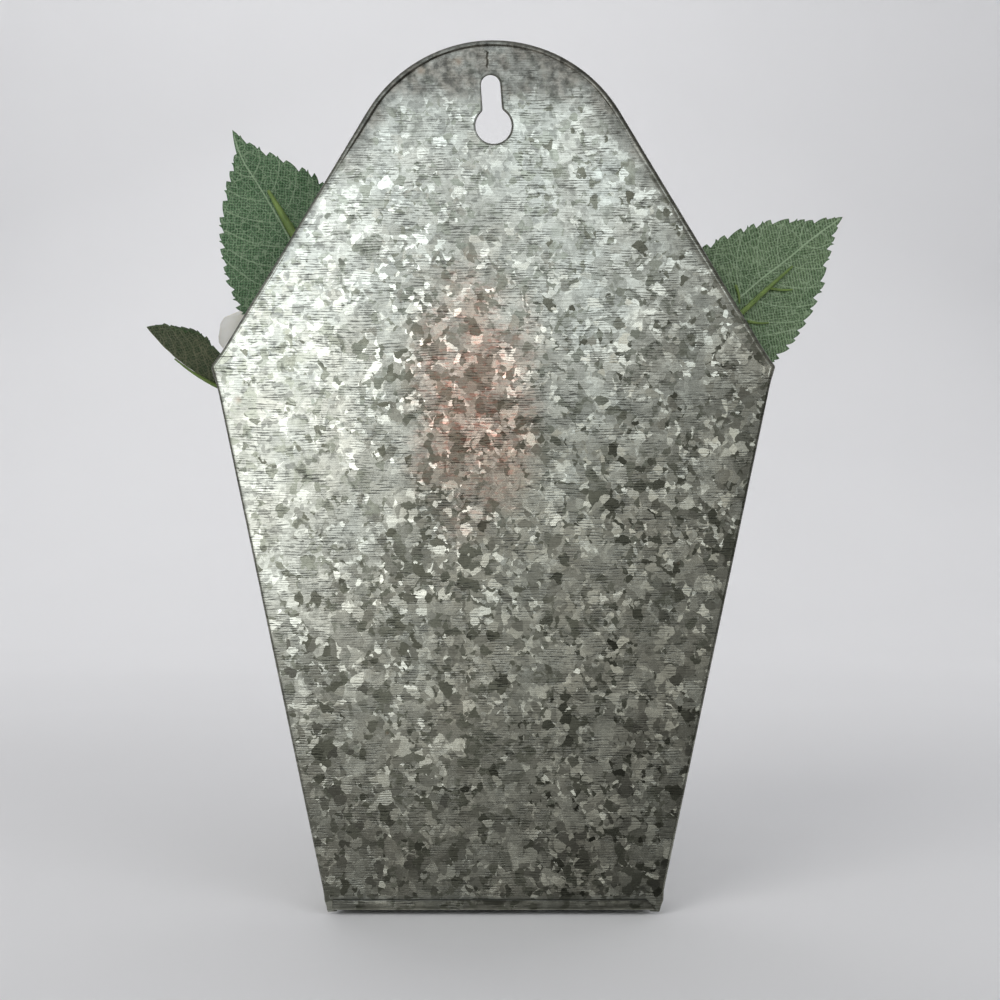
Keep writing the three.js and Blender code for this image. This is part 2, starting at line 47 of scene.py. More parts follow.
# ------------------------------------------------------------------ camera
PX = 0.33            # millimetres per pixel of the 1000 x 1000 frame, on the back panel
CAM = Vector((-2.145, 550.0, -137.148))
cam_data = bpy.data.cameras.new("camera")
cam_data.sensor_width = 36.0
cam_data.lens = 36.0 * 550.65 / 330.0
cam_data.clip_start, cam_data.clip_end = 0.02, 30.0
camera = bpy.data.objects.new("camera", cam_data)
scene.collection.objects.link(camera)
camera.location = CAM * MM
camera.rotation_euler = (math.radians(90), 0, math.radians(180))
scene.camera = camera
scene.view_settings.view_transform = "Standard"
scene.view_settings.look = "None"

# ------------------------------------------------------------------ dimensions, as in the CAD model
SHEET, GAP = 0.55, 0.1
Z_TOP, R_ARCH = 14.8, 48.84
X_CORNER, Z_CORNER = 92.7, -92.9
X_FOOT, Z_FOOT, Z_BASE = 54.8, -273.1, -272.5
DEPTH_RIM, DEPTH_FOOT = 83.5, 51.5
Y_PANEL = -(SHEET + GAP)
STRIP_TOP = -268.7
HEM, INSET = 3.0, 3.3
Y_FLANGE = Y_PANEL - SHEET - GAP
HOLE_R, SLOT_R = 6.0, 3.2
HOLE_AT, SEAT_AT = (0.0, -13.6), (1.0, 0.0)
Y_BEAD = -1.55
RIM_OUT = 1.2
Z_RIM = Z_CORNER - RIM_OUT
FOAM_TOP = -228.0
STEM_R = 1.8


def side_x(z):
    return X_FOOT + ((z - Z_FOOT) / (Z_CORNER - Z_FOOT)) * (X_CORNER - X_FOOT)


def shell_a(z):
    return side_x(z) - INSET


def shell_b(z):
    return DEPTH_FOOT + ((z - Z_FOOT) / (Z_CORNER - Z_FOOT)) * (DEPTH_RIM - DEPTH_FOOT)


def smooth(a, b, x):
    t = np.clip((np.asarray(x, float) - a) / (b - a), 0, 1)
    return t * t * (3 - 2 * t)


def fbm(x, y, z=0.0, octaves=3):
    """Seeded smooth noise around 0, about -1 to 1."""
    s, k, total = 0.0, 1.0, 0.0
    for _ in range(octaves):
        s += k * noise.noise(Vector((x, y, z)))
        total += k
        x, y, z, k = x * 2.1 + 7.3, y * 2.1 - 3.1, z * 2.1 + 1.7, k * 0.5
    return s / total * 1.6


# ------------------------------------------------------------------ mesh helpers
def make(name, verts, faces, material, body, cad=(), attrs=None, uv=None, sharp=40, smooth_faces=True):
    """A mesh object from vertices in mm. attrs: name -> one float per vertex. uv: one (u, v) per vertex."""
    me = bpy.data.meshes.new(name)
    me.from_pydata([tuple(float(c) * MM for c in v) for v in verts], [], [tuple(int(i) for i in f) for f in faces])
    me.validate()
    for key, values in (attrs or {}).items():
        a = me.attributes.new(key, "FLOAT", "POINT")
        a.data.foreach_set("value", np.asarray(values, np.float32))
    if uv is not None:
        layer = me.uv_layers.new(name="uv_mm")
        uv = np.asarray(uv, np.float32)
        index = np.zeros(len(me.loops), np.int32)
        me.loops.foreach_get("vertex_index", index)
        layer.data.foreach_set("uv", uv[index].ravel())
    if smooth_faces:
        me.shade_smooth()
        if sharp:
            me.set_sharp_from_angle(angle=math.radians(sharp))
    me.materials.append(material)
    obj = bpy.data.objects.new(name, me)
    scene.collection.objects.link(obj)
    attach(obj, body)
    if cad:
        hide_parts(*([cad] if isinstance(cad, str) else cad))
    return obj


class Bag:
    """Collects several closed pieces into one mesh."""

    def __init__(self):
        self.v, self.f, self.a, self.uv = [], [], {}, []

    def add(self, verts, faces, attrs=None, uv=None):
        n = len(self.v)
        self.v += [tuple(p) for p in verts]
        self.f += [tuple(i + n for i in f) for f in faces]
        for key in set(self.a) | set(attrs or {}):
            have = self.a.setdefault(key, [0.0] * n)
            have += list((attrs or {}).get(key, [0.0] * len(verts)))
        self.uv += [tuple(p) for p in uv] if uv is not None else [(0.0, 0.0)] * len(verts)


def grid_faces(rows, cols, wrap_rows=False, wrap_cols=False):
    f = []
    for i in range(rows if wrap_rows else rows - 1):
        for j in range(cols if wrap_cols else cols - 1):
            a, b = i * cols + j, i * cols + (j + 1) % cols
            c, d = ((i + 1) % rows) * cols + (j + 1) % cols, ((i + 1) % rows) * cols + j
            f.append((a, b, c, d))
    return f


def catmull(points, n):
    """Centripetal Catmull-Rom through points, n + 1 samples evenly spaced along it."""
    P = [np.array(p, float) for p in points]
    P = [2 * P[0] - P[1]] + P + [2 * P[-1] - P[-2]]
    dense = []
    for i in range(1, len(P) - 2):
        p0, p1, p2, p3 = P[i - 1], P[i], P[i + 1], P[i + 2]
        t0 = 0.0
        t1 = t0 + max(np.linalg.norm(p1 - p0), 1e-6) ** 0.5
        t2 = t1 + max(np.linalg.norm(p2 - p1), 1e-6) ** 0.5
        t3 = t2 + max(np.linalg.norm(p3 - p2), 1e-6) ** 0.5
        for k in range(24):
            t = t1 + (t2 - t1) * k / 24
            a1 = (t1 - t) / (t1 - t0) * p0 + (t - t0) / (t1 - t0) * p1
            a2 = (t2 - t) / (t2 - t1) * p1 + (t - t1) / (t2 - t1) * p2
            a3 = (t3 - t) / (t3 - t2) * p2 + (t - t2) / (t3 - t2) * p3
            b1 = (t2 - t) / (t2 - t0) * a1 + (t - t0) / (t2 - t0) * a2
            b2 = (t3 - t) / (t3 - t1) * a2 + (t - t1) / (t3 - t1) * a3
            dense.append((t2 - t) / (t2 - t1) * b1 + (t - t1) / (t2 - t1) * b2)
    dense.append(P[-2])
    dense = np.array(dense)
    s = np.concatenate([[0], np.cumsum(np.linalg.norm(np.diff(dense, axis=0), axis=1))])
    want = np.linspace(0, s[-1], n + 1)
    return np.stack([np.interp(want, s, dense[:, k]) for k in range(3)], 1)


def frames(path):
    """Tangents and two normals along a path, carried without twist."""
    t = np.gradient(path, axis=0)
    t /= np.linalg.norm(t, axis=1)[:, None]
    u = np.cross([0, 1, 0], t[0]) if abs(t[0][1]) < 0.9 else np.cross([1, 0, 0], t[0])
    us = []
    for k in range(len(path)):
        u = u - t[k] * np.dot(u, t[k])
        u = u / np.linalg.norm(u)
        us.append(u)
    us = np.array(us)
    return t, us, np.cross(t, us)


def tube(bag, path, radii, sides=12, flat=1.0, lumps=0.0, seed=0.0, attr=None):
    """A closed tube with rounded ends. flat squeezes it along its second normal."""
    path = np.asarray(path, float)
    radii = np.broadcast_to(np.asarray(radii, float), (len(path),)).copy()
    t, u, v = frames(path)
    ends = []
    for k, a in ((0, -1), (len(path) - 1, 1)):
        ends.append([(path[k] + t[k] * a * radii[k] * h, u[k], v[k], radii[k] * r) for h, r in ((0.35, 0.92), (0.72, 0.62))])
    rings = ends[0][::-1] + [(path[k], u[k], v[k], radii[k]) for k in range(len(path))] + ends[1]
    verts, n = [], len(rings)
    for k, (o, a, b, r) in enumerate(rings):
        for j in range(sides):
            w = 2 * math.pi * j / sides
            q = r * (1 + lumps * noise.noise(Vector((k * 0.9 + seed, math.cos(w) * 1.3, math.sin(w) * 1.3))))
            verts.append(o + a * q * math.cos(w) + b * q * math.sin(w) * flat)
    faces = grid_faces(n, sides, wrap_cols=True)
    verts.append(rings[0][0] - t[0] * rings[0][3] * 0.3)
    verts.append(rings[-1][0] + t[-1] * rings[-1][3] * 0.3)
    a, b, last = len(verts) - 2, len(verts) - 1, (n - 1) * sides
    for j in range(sides):
        faces.append((a, (j + 1) % sides, j))
        faces.append((b, last + j, last + (j + 1) % sides))
    bag.add(verts, faces, attrs={attr: [1.0] * len(verts)} if attr else None)


def inside(points, loop):
    """Which points lie inside a closed 2-D loop."""
    x, y = points[:, 0][:, None], points[:, 1][:, None]
    a, b = loop, np.roll(loop, -1, axis=0)
    hit = (a[:, 1] > y) != (b[:, 1] > y)
    dy = np.where(np.abs(b[:, 1] - a[:, 1]) < 1e-12, 1e-12, b[:, 1] - a[:, 1])
    cross = (b[:, 0] - a[:, 0]) * (y - a[:, 1]) / dy + a[:, 0]
    return (np.sum(hit & (x < cross), axis=1) % 2) == 1


def distance(points, loop, closed=True):
    """Distance from each point to a 2-D polyline."""
    a = loop if closed else loop[:-1]
    b = np.roll(loop, -1, axis=0) if closed else loop[1:]
    best = np.full(len(points), 1e9)
    d = b - a
    dd = np.maximum((d * d).sum(1), 1e-12)
    for k in range(0, len(points), 4000):
        p = points[k:k + 4000]
        t = np.clip(((p[:, None, :] - a[None]) * d[None]).sum(2) / dd[None], 0, 1)
        q = a[None] + t[:, :, None] * d[None]
        best[k:k + 4000] = np.sqrt((((p[:, None, :] - q) ** 2).sum(2)).min(1))
    return best


def triangulate(loops, extra):
    """Constrained triangles between the first loop and the others. Returns points and triangles, the loops' points first."""
    pts = np.concatenate(list(loops) + ([extra] if len(extra) else []))
    edges, at = [], 0
    for lp in loops:
        n = len(lp)
        edges += [(at + i, at + (i + 1) % n) for i in range(n)]
        at += n
    out, _, tris, orig, _, _ = delaunay_2d_cdt([Vector(p) for p in pts], edges, [], 0, 1e-5, True)
    where = np.full(len(out), -1, int)
    extra_at = len(pts)
    points = list(map(tuple, pts))
    for k, o in enumerate(orig):
        if o:
            where[k] = min(o)
        else:
            where[k] = extra_at
            points.append(tuple(out[k]))
            extra_at += 1
    points = np.array(points)
    tris = np.array([[where[i] for i in t] for t in tris if len(t) == 3])
    mid = points[tris].mean(1)
    keep = inside(mid, loops[0])
    for lp in loops[1:]:
        keep &= ~inside(mid, lp)
    tris = tris[keep]
    area = np.cross(points[tris[:, 1]] - points[tris[:, 0]], points[tris[:, 2]] - points[tris[:, 0]])
    tris[area < 0] = tris[area < 0][:, ::-1]
    return points, tris[np.abs(area) > 1e-9]


# ------------------------------------------------------------------ material helpers
class Mat:
    """A small helper to write node materials."""

    def __init__(self, name):
        self.m = bpy.data.materials.new(name)
        self.m.use_nodes = True
        self.t = self.m.node_tree
        self.t.nodes.clear()
        self.x = 0

    def node(self, kind, props=None, **inputs):
        n = self.t.nodes.new(kind)
        self.x += 40
        n.location = (self.x, -(self.x * 7) % 900)
        for k, v in (props or {}).items():
            setattr(n, k, v)
        for k, v in inputs.items():
            key = int(k[1:]) if k[0] == "_" and k[1:].isdigit() else k.replace("_", " ")
            self.put(n.inputs[key], v)
        return n

    def put(self, socket, v):
        if isinstance(v, bpy.types.NodeSocket):
            self.t.links.new(v, socket)
        elif v is not None:
            socket.default_value = v

    def math(self, op, a, b=0.0, c=0.0, clamp=False):
        n = self.node("ShaderNodeMath", {"operation": op, "use_clamp": clamp})
        for s, v in zip(n.inputs, (a, b, c)):
            self.put(s, v)
        return n.outputs[0]

    def vec(self, op, a, b=(0, 0, 0)):
        n = self.node("ShaderNodeVectorMath", {"operation": op})
        self.put(n.inputs[0], a)
        if op == "SCALE":
            self.put(n.inputs["Scale"], b)
        elif op != "NORMALIZE" and op != "LENGTH":
            self.put(n.inputs[1], b)
        return n.outputs["Value"] if op in ("LENGTH", "DOT_PRODUCT", "DISTANCE") else n.outputs["Vector"]

    def coords(self, seed=(0.0, 0.0, 0.0)):
        """Object coordinates in millimetres."""
        n = self.node("ShaderNodeTexCoord")
        p = self.vec("SCALE", n.outputs["Object"], 1000.0)
        return self.vec("ADD", p, seed) if any(seed) else p

    def split(self, v):
        n = self.node("ShaderNodeSeparateXYZ", _0=v)
        return n.outputs[0], n.outputs[1], n.outputs[2]

    def join(self, x, y, z):
        n = self.node("ShaderNodeCombineXYZ", _0=x, _1=y, _2=z)
        return n.outputs[0]

    def noise(self, v, scale, detail=2.0, rough=0.5, distortion=0.0, color=False):
        n = self.node("ShaderNodeTexNoise", {"noise_dimensions": "3D"}, Vector=v, Scale=scale, Detail=detail, Roughness=rough, Distortion=distortion)
        return n.outputs["Color" if color else "Fac"]

    def cells(self, v, scale, feature="F1", metric="EUCLIDEAN", out="Color", random=1.0):
        n = self.node("ShaderNodeTexVoronoi", {"feature": feature, "distance": metric, "voronoi_dimensions": "3D"}, Vector=v, Scale=scale, Randomness=random)
        return n.outputs[out]

    def remap(self, v, a, b, c=0.0, d=1.0, kind="SMOOTHSTEP"):
        n = self.node("ShaderNodeMapRange", {"interpolation_type": kind, "clamp": True}, Value=v)
        for s, x in zip(("From Min", "From Max", "To Min", "To Max"), (a, b, c, d)):
            self.put(n.inputs[s], x)
        return n.outputs["Result"]

    def ramp(self, v, stops, kind="LINEAR"):
        n = self.node("ShaderNodeValToRGB", Fac=v)
        r = n.color_ramp
        r.interpolation = kind
        while len(r.elements) < len(stops):
            r.elements.new(0.5)
        for e, (p, c) in zip(r.elements, stops):
            e.position = p
            e.color = (*c, 1.0) if hasattr(c, "__len__") else (c, c, c, 1.0)
        return n.outputs["Color"]

    def mix(self, fac, a, b, blend="MIX"):
        n = self.node("ShaderNodeMix", {"data_type": "RGBA", "blend_type": blend, "clamp_factor": True})
        self.put(n.inputs[0], fac)
        for s, v in ((n.inputs[6], a), (n.inputs[7], b)):
            self.put(s, (*v, 1.0) if isinstance(v, tuple) and len(v) == 3 else v)
        return n.outputs[2]

    def attr(self, name, out="Fac"):
        n = self.node("ShaderNodeAttribute", {"attribute_name": name, "attribute_type": "GEOMETRY"})
        return n.outputs[out]

    def bump(self, height, distance, strength=1.0, normal=None):
        n = self.node("ShaderNodeBump", Height=height, Distance=distance, Strength=strength)
        if normal is not None:
            self.put(n.inputs["Normal"], normal)
        return n.outputs["Normal"]

    def principled(self, **inputs):
        n = self.node("ShaderNodeBsdfPrincipled")
        for k, v in inputs.items():
            self.put(n.inputs[k.replace("_", " ")], (*v, 1.0) if isinstance(v, tuple) and len(v) == 3 and "Radius" not in k else v)
        out = self.node("ShaderNodeOutputMaterial")
        self.t.links.new(n.outputs[0], out.inputs["Surface"])
        return self.m


def galvanised(name, seed, tint=(0.655, 0.66, 0.60), back=False, shade=1.0):
    """Spangled zinc: grains of several sizes, each with its own brightness and gloss, crossed by level rolling lines."""
    k = Mat(name)
    raw = k.coords()
    P = k.vec("ADD", raw, (seed * 37.1, seed * 11.3, seed * 5.9)) if seed else raw
    x, y, z = k.split(P)
    w1 = k.vec("SCALE", k.vec("SUBTRACT", k.noise(P, 0.22, 2.0, 0.55, color=True), (0.5, 0.5, 0.5)), 3.6)
    w2 = k.vec("SCALE", k.vec("SUBTRACT", k.noise(P, 0.75, 2.0, 0.6, color=True), (0.5, 0.5, 0.5)), 1.15)
    Q = k.vec("ADD", k.vec("ADD", P, w1), w2)
    big = k.cells(Q, 0.17)
    mid = k.cells(Q, 0.33)
    small = k.cells(k.vec("ADD", Q, (3.3, 1.1, 7.7)), 0.62)
    bx, by, bz = k.split(big)
    mx, my, mz = k.split(mid)
    # some grains are broken into smaller ones, some grown together
    pick_small = k.remap(k.math("ADD", k.math("MULTIPLY", mz, 0.6), k.math("MULTIPLY", k.noise(P, 0.07, 1.0), 0.8)), 0.70, 0.73)
    cell = k.mix(pick_small, mid, small)
    cell = k.mix(k.remap(bz, 0.72, 0.73, 0.0, 0.6), cell, big)
    cx, cy, cz = k.split(cell)
    tone = k.ramp(cx, [(0.0, 0.40), (0.22, 0.50), (0.31, 0.66), (0.50, 0.76), (0.60, 0.92), (0.78, 1.02), (0.86, 1.26), (1.0, 1.48)])
    if back:
        # flatter, finer spangle towards one side and the top
        fx, fy, fz = k.split(raw)
        wob = k.math("MULTIPLY", k.math("SUBTRACT", k.noise(P, 0.05, 2.0), 0.5), 40.0)
        calm = k.math("MAXIMUM", k.remap(k.math("ADD", fx, wob), 12.0, 58.0), k.math("MULTIPLY", k.remap(k.math("ADD", fz, wob), -95.0, -35.0), 0.75))
        calm = k.math("MULTIPLY", calm, k.remap(fz, -205.0, -140.0, 0.10, 0.60))
        tone = k.math("ADD", k.math("MULTIPLY", tone, k.math("SUBTRACT", 1.0, calm)), k.math("MULTIPLY", calm, 0.88))
        speck, _, _ = k.split(k.cells(k.vec("ADD", Q, (9.1, 4.4, 2.2)), 0.58))
        speck = k.math("MULTIPLY", k.remap(speck, 0.17, 0.15), k.math("MULTIPLY", calm, 0.62))
        tone = k.math("MULTIPLY", tone, k.math("SUBTRACT", 1.0, speck))
    if shade < 0.7:
        tone = k.math("ADD", k.math("MULTIPLY", tone, 0.55), 0.36)
    cloud = k.remap(k.noise(P, 0.022, 3.0, 0.6), 0.3, 0.7, 0.86, 1.1, "LINEAR")
    grain = k.remap(k.noise(P, 1.1, 3.0, 0.65), 0.3, 0.7, 0.88, 1.10, "LINEAR")
    # rolling lines: thin, level, broken, in groups
    warp = k.noise(k.join(k.math("MULTIPLY", x, 0.03), k.math("MULTIPLY", y, 0.03), k.math("MULTIPLY", z, 0.11)), 1.0, 2.0)
    phase = k.math("ADD", k.math("MULTIPLY", z, 1.19), k.math("MULTIPLY", warp, 4.0))
    wave_ = k.math("SINE", k.math("MULTIPLY", phase, 2 * math.pi))
    broken = k.noise(k.join(k.math("MULTIPLY", x, 0.27), k.math("MULTIPLY", y, 0.27), k.math("MULTIPLY", z, 1.3)), 1.0, 2.0, 0.6)
    lines = k.remap(k.math("ADD", k.math("MULTIPLY", wave_, 0.42), k.math("MULTIPLY", k.math("SUBTRACT", broken, 0.5), 3.4)), 0.05, 0.45)
    zone = k.remap(k.noise(k.vec("MULTIPLY", k.vec("ADD", P, (50, 0, 9)), (0.8, 0.8, 1.25)), 0.115, 3.0, 0.62), 0.41, 0.57, 0.18, 1.0)
    zone = k.math("MULTIPLY", zone, k.remap(cy, 0.1, 0.7, 0.55, 1.0, "LINEAR"))
    fine = k.remap(k.noise(k.join(k.math("MULTIPLY", x, 0.14), k.math("MULTIPLY", y, 0.14), k.math("MULTIPLY", z, 2.6)), 1.0, 2.0, 0.6), 0.44, 0.62)
    dark = k.math("ADD", k.math("MULTIPLY", k.math("MULTIPLY", lines, zone), 0.62), k.math("MULTIPLY", fine, 0.13))
    streak = k.math("SUBTRACT", 1.0, dark)
    level = k.math("MULTIPLY", k.math("MULTIPLY", k.math("MULTIPLY", tone, cloud), grain), streak)
    if shade != 1.0:
        level = k.math("MULTIPLY", level, shade)
    warm = tuple(c * f for c, f in zip(tint, (1.03, 0.99, 0.95)))
    cool = tuple(c * f for c, f in zip(tint, (0.96, 1.01, 1.04)))
    olive = tuple(c * f for c, f in zip(tint, (0.97, 1.00, 0.93)))
    base = k.mix(k.remap(cx, 0.35, 0.1), k.mix(k.noise(P, 0.05, 2.0), warm, cool), olive)
    base = k.vec("SCALE", base, level)
    rough = k.math("ADD", k.remap(cz, 0.0, 1.0, 0.11, 0.24, "LINEAR"), k.math("MULTIPLY", dark, 0.14))
    loose = 1.0
    if back:
        edge = k.attr("edge_mm")
        ox, oy, oz = k.split(raw)
        # the top of the arch is smoother, duller and blotchy
        top = k.math("MULTIPLY", k.remap(oz, -10.0, 0.0), k.remap(k.noise(P, 0.12, 3.0, 0.7), 0.35, 0.55, 0.7, 1.0))
        rim = k.math("MULTIPLY", k.remap(edge, 10.0, 3.0), k.remap(oz, -45.0, -12.0))
        dull = k.math("MAXIMUM", top, k.math("MULTIPLY", rim, 0.85))
        grey = k.vec("SCALE", k.mix(k.remap(k.noise(P, 0.11, 2.0, 0.6), 0.42, 0.58), (0.262, 0.260, 0.240), (0.258, 0.240, 0.212)), k.remap(k.noise(P, 0.34, 4.0, 0.70), 0.38, 0.62, 0.30, 1.42, "LINEAR"))
        grey = k.vec("SCALE", grey, k.remap(k.noise(k.join(k.math("MULTIPLY", x, 0.3), 0.0, k.math("MULTIPLY", z, 1.4)), 1.0, 2.0), 0.45, 0.62, 1.0, 0.78))
        base = k.mix(k.math("MULTIPLY", dull, 0.85), base, grey)
        rough = k.math("ADD", rough, k.math("MULTIPLY", dull, 0.10))
        loose = k.math("SUBTRACT", 1.0, dull)
        # pinkish residue in the middle of the rear face
        u = k.math("DIVIDE", k.math("SUBTRACT", ox, 7.0), 22.0)
        v = k.math("DIVIDE", k.math("ADD", oz, 104.0), 42.0)
        rad = k.math("SQRT", k.math("ADD", k.math("MULTIPLY", u, u), k.math("MULTIPLY", v, v)))
        rad = k.math("ADD", rad, k.math("MULTIPLY", k.math("SUBTRACT", k.noise(P, 0.055, 3.0, 0.6), 0.5), 1.3))
        face = k.remap(oy, -0.95, -0.9)
        pink = k.math("MULTIPLY", k.remap(rad, 1.25, 0.25), face)
        base = k.mix(k.math("MULTIPLY", pink, 0.75), base, k.vec("MULTIPLY", base, (1.10, 0.83, 0.76)))
        patch = k.remap(k.noise(k.vec("MULTIPLY", k.vec("ADD", P, (0, 0, 31)), (0.3, 0.3, 0.75)), 1.0, 3.0, 0.7), 0.50, 0.64)
        base = k.mix(k.math("MULTIPLY", k.math("MULTIPLY", pink, patch), 0.62), base, k.vec("MULTIPLY", base, (1.12, 0.60, 0.53)))
        # a few small rust-brown spots
        spots = None
        for sx0, sz0, r0 in ((84.3, -104.0, 1.7), (11.7, 7.6, 2.4), (24.0, 4.6, 1.8), (-61.0, -158.0, 0.7), (35.0, -214.0, 0.6), (18.3, -109.4, 0.8)):
            d = k.vec("LENGTH", k.vec("SUBTRACT", k.join(ox, 0.0, oz), (sx0, 0.0, sz0)))
            d = k.math("ADD", d, k.math("MULTIPLY", k.noise(P, 0.8, 2.0), 1.2))
            m = k.remap(d, r0 + 0.9, 0.4)
            spots = m if spots is None else k.math("MAXIMUM", spots, m)
        base = k.mix(k.math("MULTIPLY", spots, 0.38), base, (0.30, 0.17, 0.09))
        # painted shade: the rolled bead is painted darker than the flat, and dirt with painted shade sits along folds
        # and edges
        bead = k.math("MULTIPLY", k.remap(edge, 2.9, 2.2), k.remap(oz, -75.0, -40.0))
        base = k.mix(k.math("MULTIPLY", bead, 0.5), base, k.vec("SCALE", base, 0.50))
        dirt_and_shade = k.math("MULTIPLY", k.remap(edge, 1.6, 0.1), k.remap(k.noise(P, 0.35, 3.0), 0.2, 0.6, 0.6, 1.0))
        # painted shade along the crease groove
        dirt_and_shade = k.math("MAXIMUM", dirt_and_shade, k.math("MULTIPLY", k.attr("crease"), k.remap(oz, -90.0, -60.0, 1.0, 0.62)))
        # painted shade: a dark line along the very edge of the sheet
        dirt_and_shade = k.math("MAXIMUM", dirt_and_shade, k.remap(edge, 0.75, 0.35, 0.0, 1.0))
        # painted shadow: a dark line on the panel just above the bottom strip
        dirt_and_shade = k.math("MAXIMUM", dirt_and_shade, k.math("MULTIPLY", k.remap(oz, STRIP_TOP + 1.3, STRIP_TOP + 0.3), k.remap(oy, -0.95, -0.9)))
        base = k.mix(k.math("MULTIPLY", dirt_and_shade, 0.62), base, (0.10, 0.10, 0.085))
        rough = k.math("ADD", rough, k.math("MULTIPLY", dirt_and_shade, 0.2))
    else:
        edge = k.attr("edge_mm")
        # painted shade with some dirt along the rims and edges of the shell and base
        dirt_and_shade = k.math("MULTIPLY", k.remap(edge, 1.4, 0.1), k.remap(k.noise(P, 0.35, 3.0), 0.2, 0.6, 0.5, 1.0))
        base = k.mix(k.math("MULTIPLY", dirt_and_shade, 0.5 if shade > 0.8 else 0.85), base, (0.14, 0.14, 0.12) if shade > 0.8 else (0.05, 0.05, 0.043))
        if shade < 0.7:
            # painted shade: the strip's upper edge is painted dark over its highlight
            _, ey, ez = k.split(raw)
            strip_edge_shade = k.math("MULTIPLY", k.remap(ez, STRIP_TOP - 0.75, STRIP_TOP - 0.30), k.remap(ey, -0.75, -0.60))
            base = k.mix(k.math("MULTIPLY", strip_edge_shade, 0.9), base, (0.035, 0.035, 0.030))
            rough = k.math("ADD", rough, k.math("MULTIPLY", strip_edge_shade, 0.3))
    # grain tilt and fine relief
    tilt = k.vec("SUBTRACT", k.vec("SCALE", cell, 2.0), (1.0, 1.0, 1.0))
    cube = k.vec("MULTIPLY", k.vec("MULTIPLY", tilt, tilt), tilt)
    cube = k.vec("MULTIPLY", k.vec("MULTIPLY", cube, tilt), tilt)
    tilt = k.vec("ADD", k.vec("SCALE", cube, 0.052), k.vec("SCALE", tilt, 0.005))
    if back:
        tilt = k.vec("SCALE", tilt, loose)
    elif shade < 0.7:
        tilt = k.vec("SCALE", tilt, 0.45)
    height = k.math("ADD", k.math("MULTIPLY", dark, -1.0), k.math("MULTIPLY", k.noise(P, 2.4, 2.0), 0.3))
    nrm = k.bump(height, 0.00004, 0.45)
    nrm = k.vec("NORMALIZE", k.vec("ADD", nrm, tilt))
    return k.principled(Base_Color=base, Metallic=1.0, Roughness=rough, Normal=nrm)


M_BACK = galvanised("galvanised_back", 0.0, back=True)
M_SHELL = galvanised("galvanised_shell", 1.0, shade=0.97)
M_BASE = galvanised("galvanised_base", 2.0, shade=0.62)


def wire_material():
    k = Mat("edge_wire")
    P = k.coords()
    n = k.noise(P, 0.8, 3.0, 0.6)
    base = k.mix(k.remap(n, 0.3, 0.7), (0.20, 0.20, 0.18), (0.42, 0.43, 0.40))
    return k.principled(Base_Color=base, Metallic=1.0, Roughness=k.remap(n, 0.3, 0.7, 0.55, 0.35), Normal=k.bump(k.noise(P, 3.0, 2.0), 0.00003, 0.5))


M_WIRE = wire_material()

# ------------------------------------------------------------------ back panel
# Profiles of the panel's edges, from its rear face round to its front face: (inset from the outline, y).
K_OUT, K_IN = 17, 12


def arc(cd, cy, r, a0, a1, n):
    return [(cd + r * math.cos(math.radians(a0 + (a1 - a0) * i / (n - 1))), cy + r * math.sin(math.radians(a0 + (a1 - a0) * i / (n - 1)))) for i in range(n)]


Y_FRONT = Y_PANEL - SHEET


def profile_bead(cy, start, k=1.0):
    """A roll round a wire. It starts at an angle from the inward direction, over the rear."""
    dc, out, inn = 1.3 * k, 1.3 * k, 0.75 * k
    first = (dc + out * math.cos(math.radians(start)), cy + out * math.sin(math.radians(start)))
    rear = [(3.5, Y_PANEL), (3.1, Y_PANEL), (first[0] + 0.34, min(Y_PANEL, first[1] + 0.10)), (first[0] + 0.10, first[1] - 0.02)]
    outer = arc(dc, cy, out, start, 318, K_OUT)
    mid = [(dc + (out + inn) / 2 * math.cos(math.radians(322)), cy + (out + inn) / 2 * math.sin(math.radians(322)))]
    inner = arc(dc, cy, inn, 318, max(start + 6, 30), K_IN)
    inner[-1] = (inner[-1][0] + 0.2, min(inner[-1][1], Y_FRONT))
    front = [(2.6, Y_FRONT), (3.1, Y_FRONT), (3.5, Y_FRONT)]
    return np.array(rear + outer + mid + inner + front)


def profile_hem():
    c = (Y_PANEL + (Y_FLANGE - 2 * SHEET - GAP)) / 2          # middle of the fold
    R = (Y_PANEL - (Y_FLANGE - 2 * SHEET - GAP)) / 2
    r = R - SHEET
    rear = [(1.9, Y_PANEL), (1.6, Y_PANEL), (1.3, Y_PANEL), (R + 0.08, Y_PANEL)]
    turn = arc(R, c, R, 90, 270, 11)
    leg = [(R + (HEM - R) * t, c - R) for t in np.linspace(0.15, 1.0, K_OUT - 11)]
    mid = [(HEM + 0.1, c - R + SHEET / 2)]
    back = [(HEM - (HEM - R) * t, c - r) for t in np.linspace(0.0, 0.85, 5)]
    inner = arc(R, c, r, 270, 90, K_IN - 5)
    front = [(1.3, Y_FRONT), (1.6, Y_FRONT), (1.9, Y_FRONT)]
    return np.array(rear + turn + leg + mid + back + inner + front)


def profile_plain():
    rear = [(0.6, Y_PANEL), (0.45, Y_PANEL), (0.3, Y_PANEL), (0.2, Y_PANEL)]
    m = (Y_PANEL + Y_FRONT) / 2
    outer = [(0.12 - 0.12 * math.sin(math.pi * t), m + SHEET / 2 * math.cos(math.pi * t)) for t in np.linspace(0.03, 0.97, K_OUT)]
    mid = [(0.14, Y_FRONT)]
    inner = [(0.15 + 0.02 * i, Y_FRONT) for i in range(K_IN)]
    front = [(0.42, Y_FRONT), (0.5, Y_FRONT), (0.6, Y_FRONT)]
    return np.array(rear + outer + mid + inner + front)


BEAD = profile_bead(Y_BEAD, 45)
FLUSH = profile_bead(Y_PANEL - 1.3, 84)
HEMP = profile_hem()
PLAIN = profile_plain()

arc_c = np.array([0.0, Z_TOP - R_ARCH])
_d = np.array([X_CORNER, Z_CORNER]) - arc_c
TAN = math.atan2(_d[1], _d[0]) + math.acos(R_ARCH / np.hypot(*_d))
tan_pt = arc_c + R_ARCH * np.array([math.cos(TAN), math.sin(TAN)])


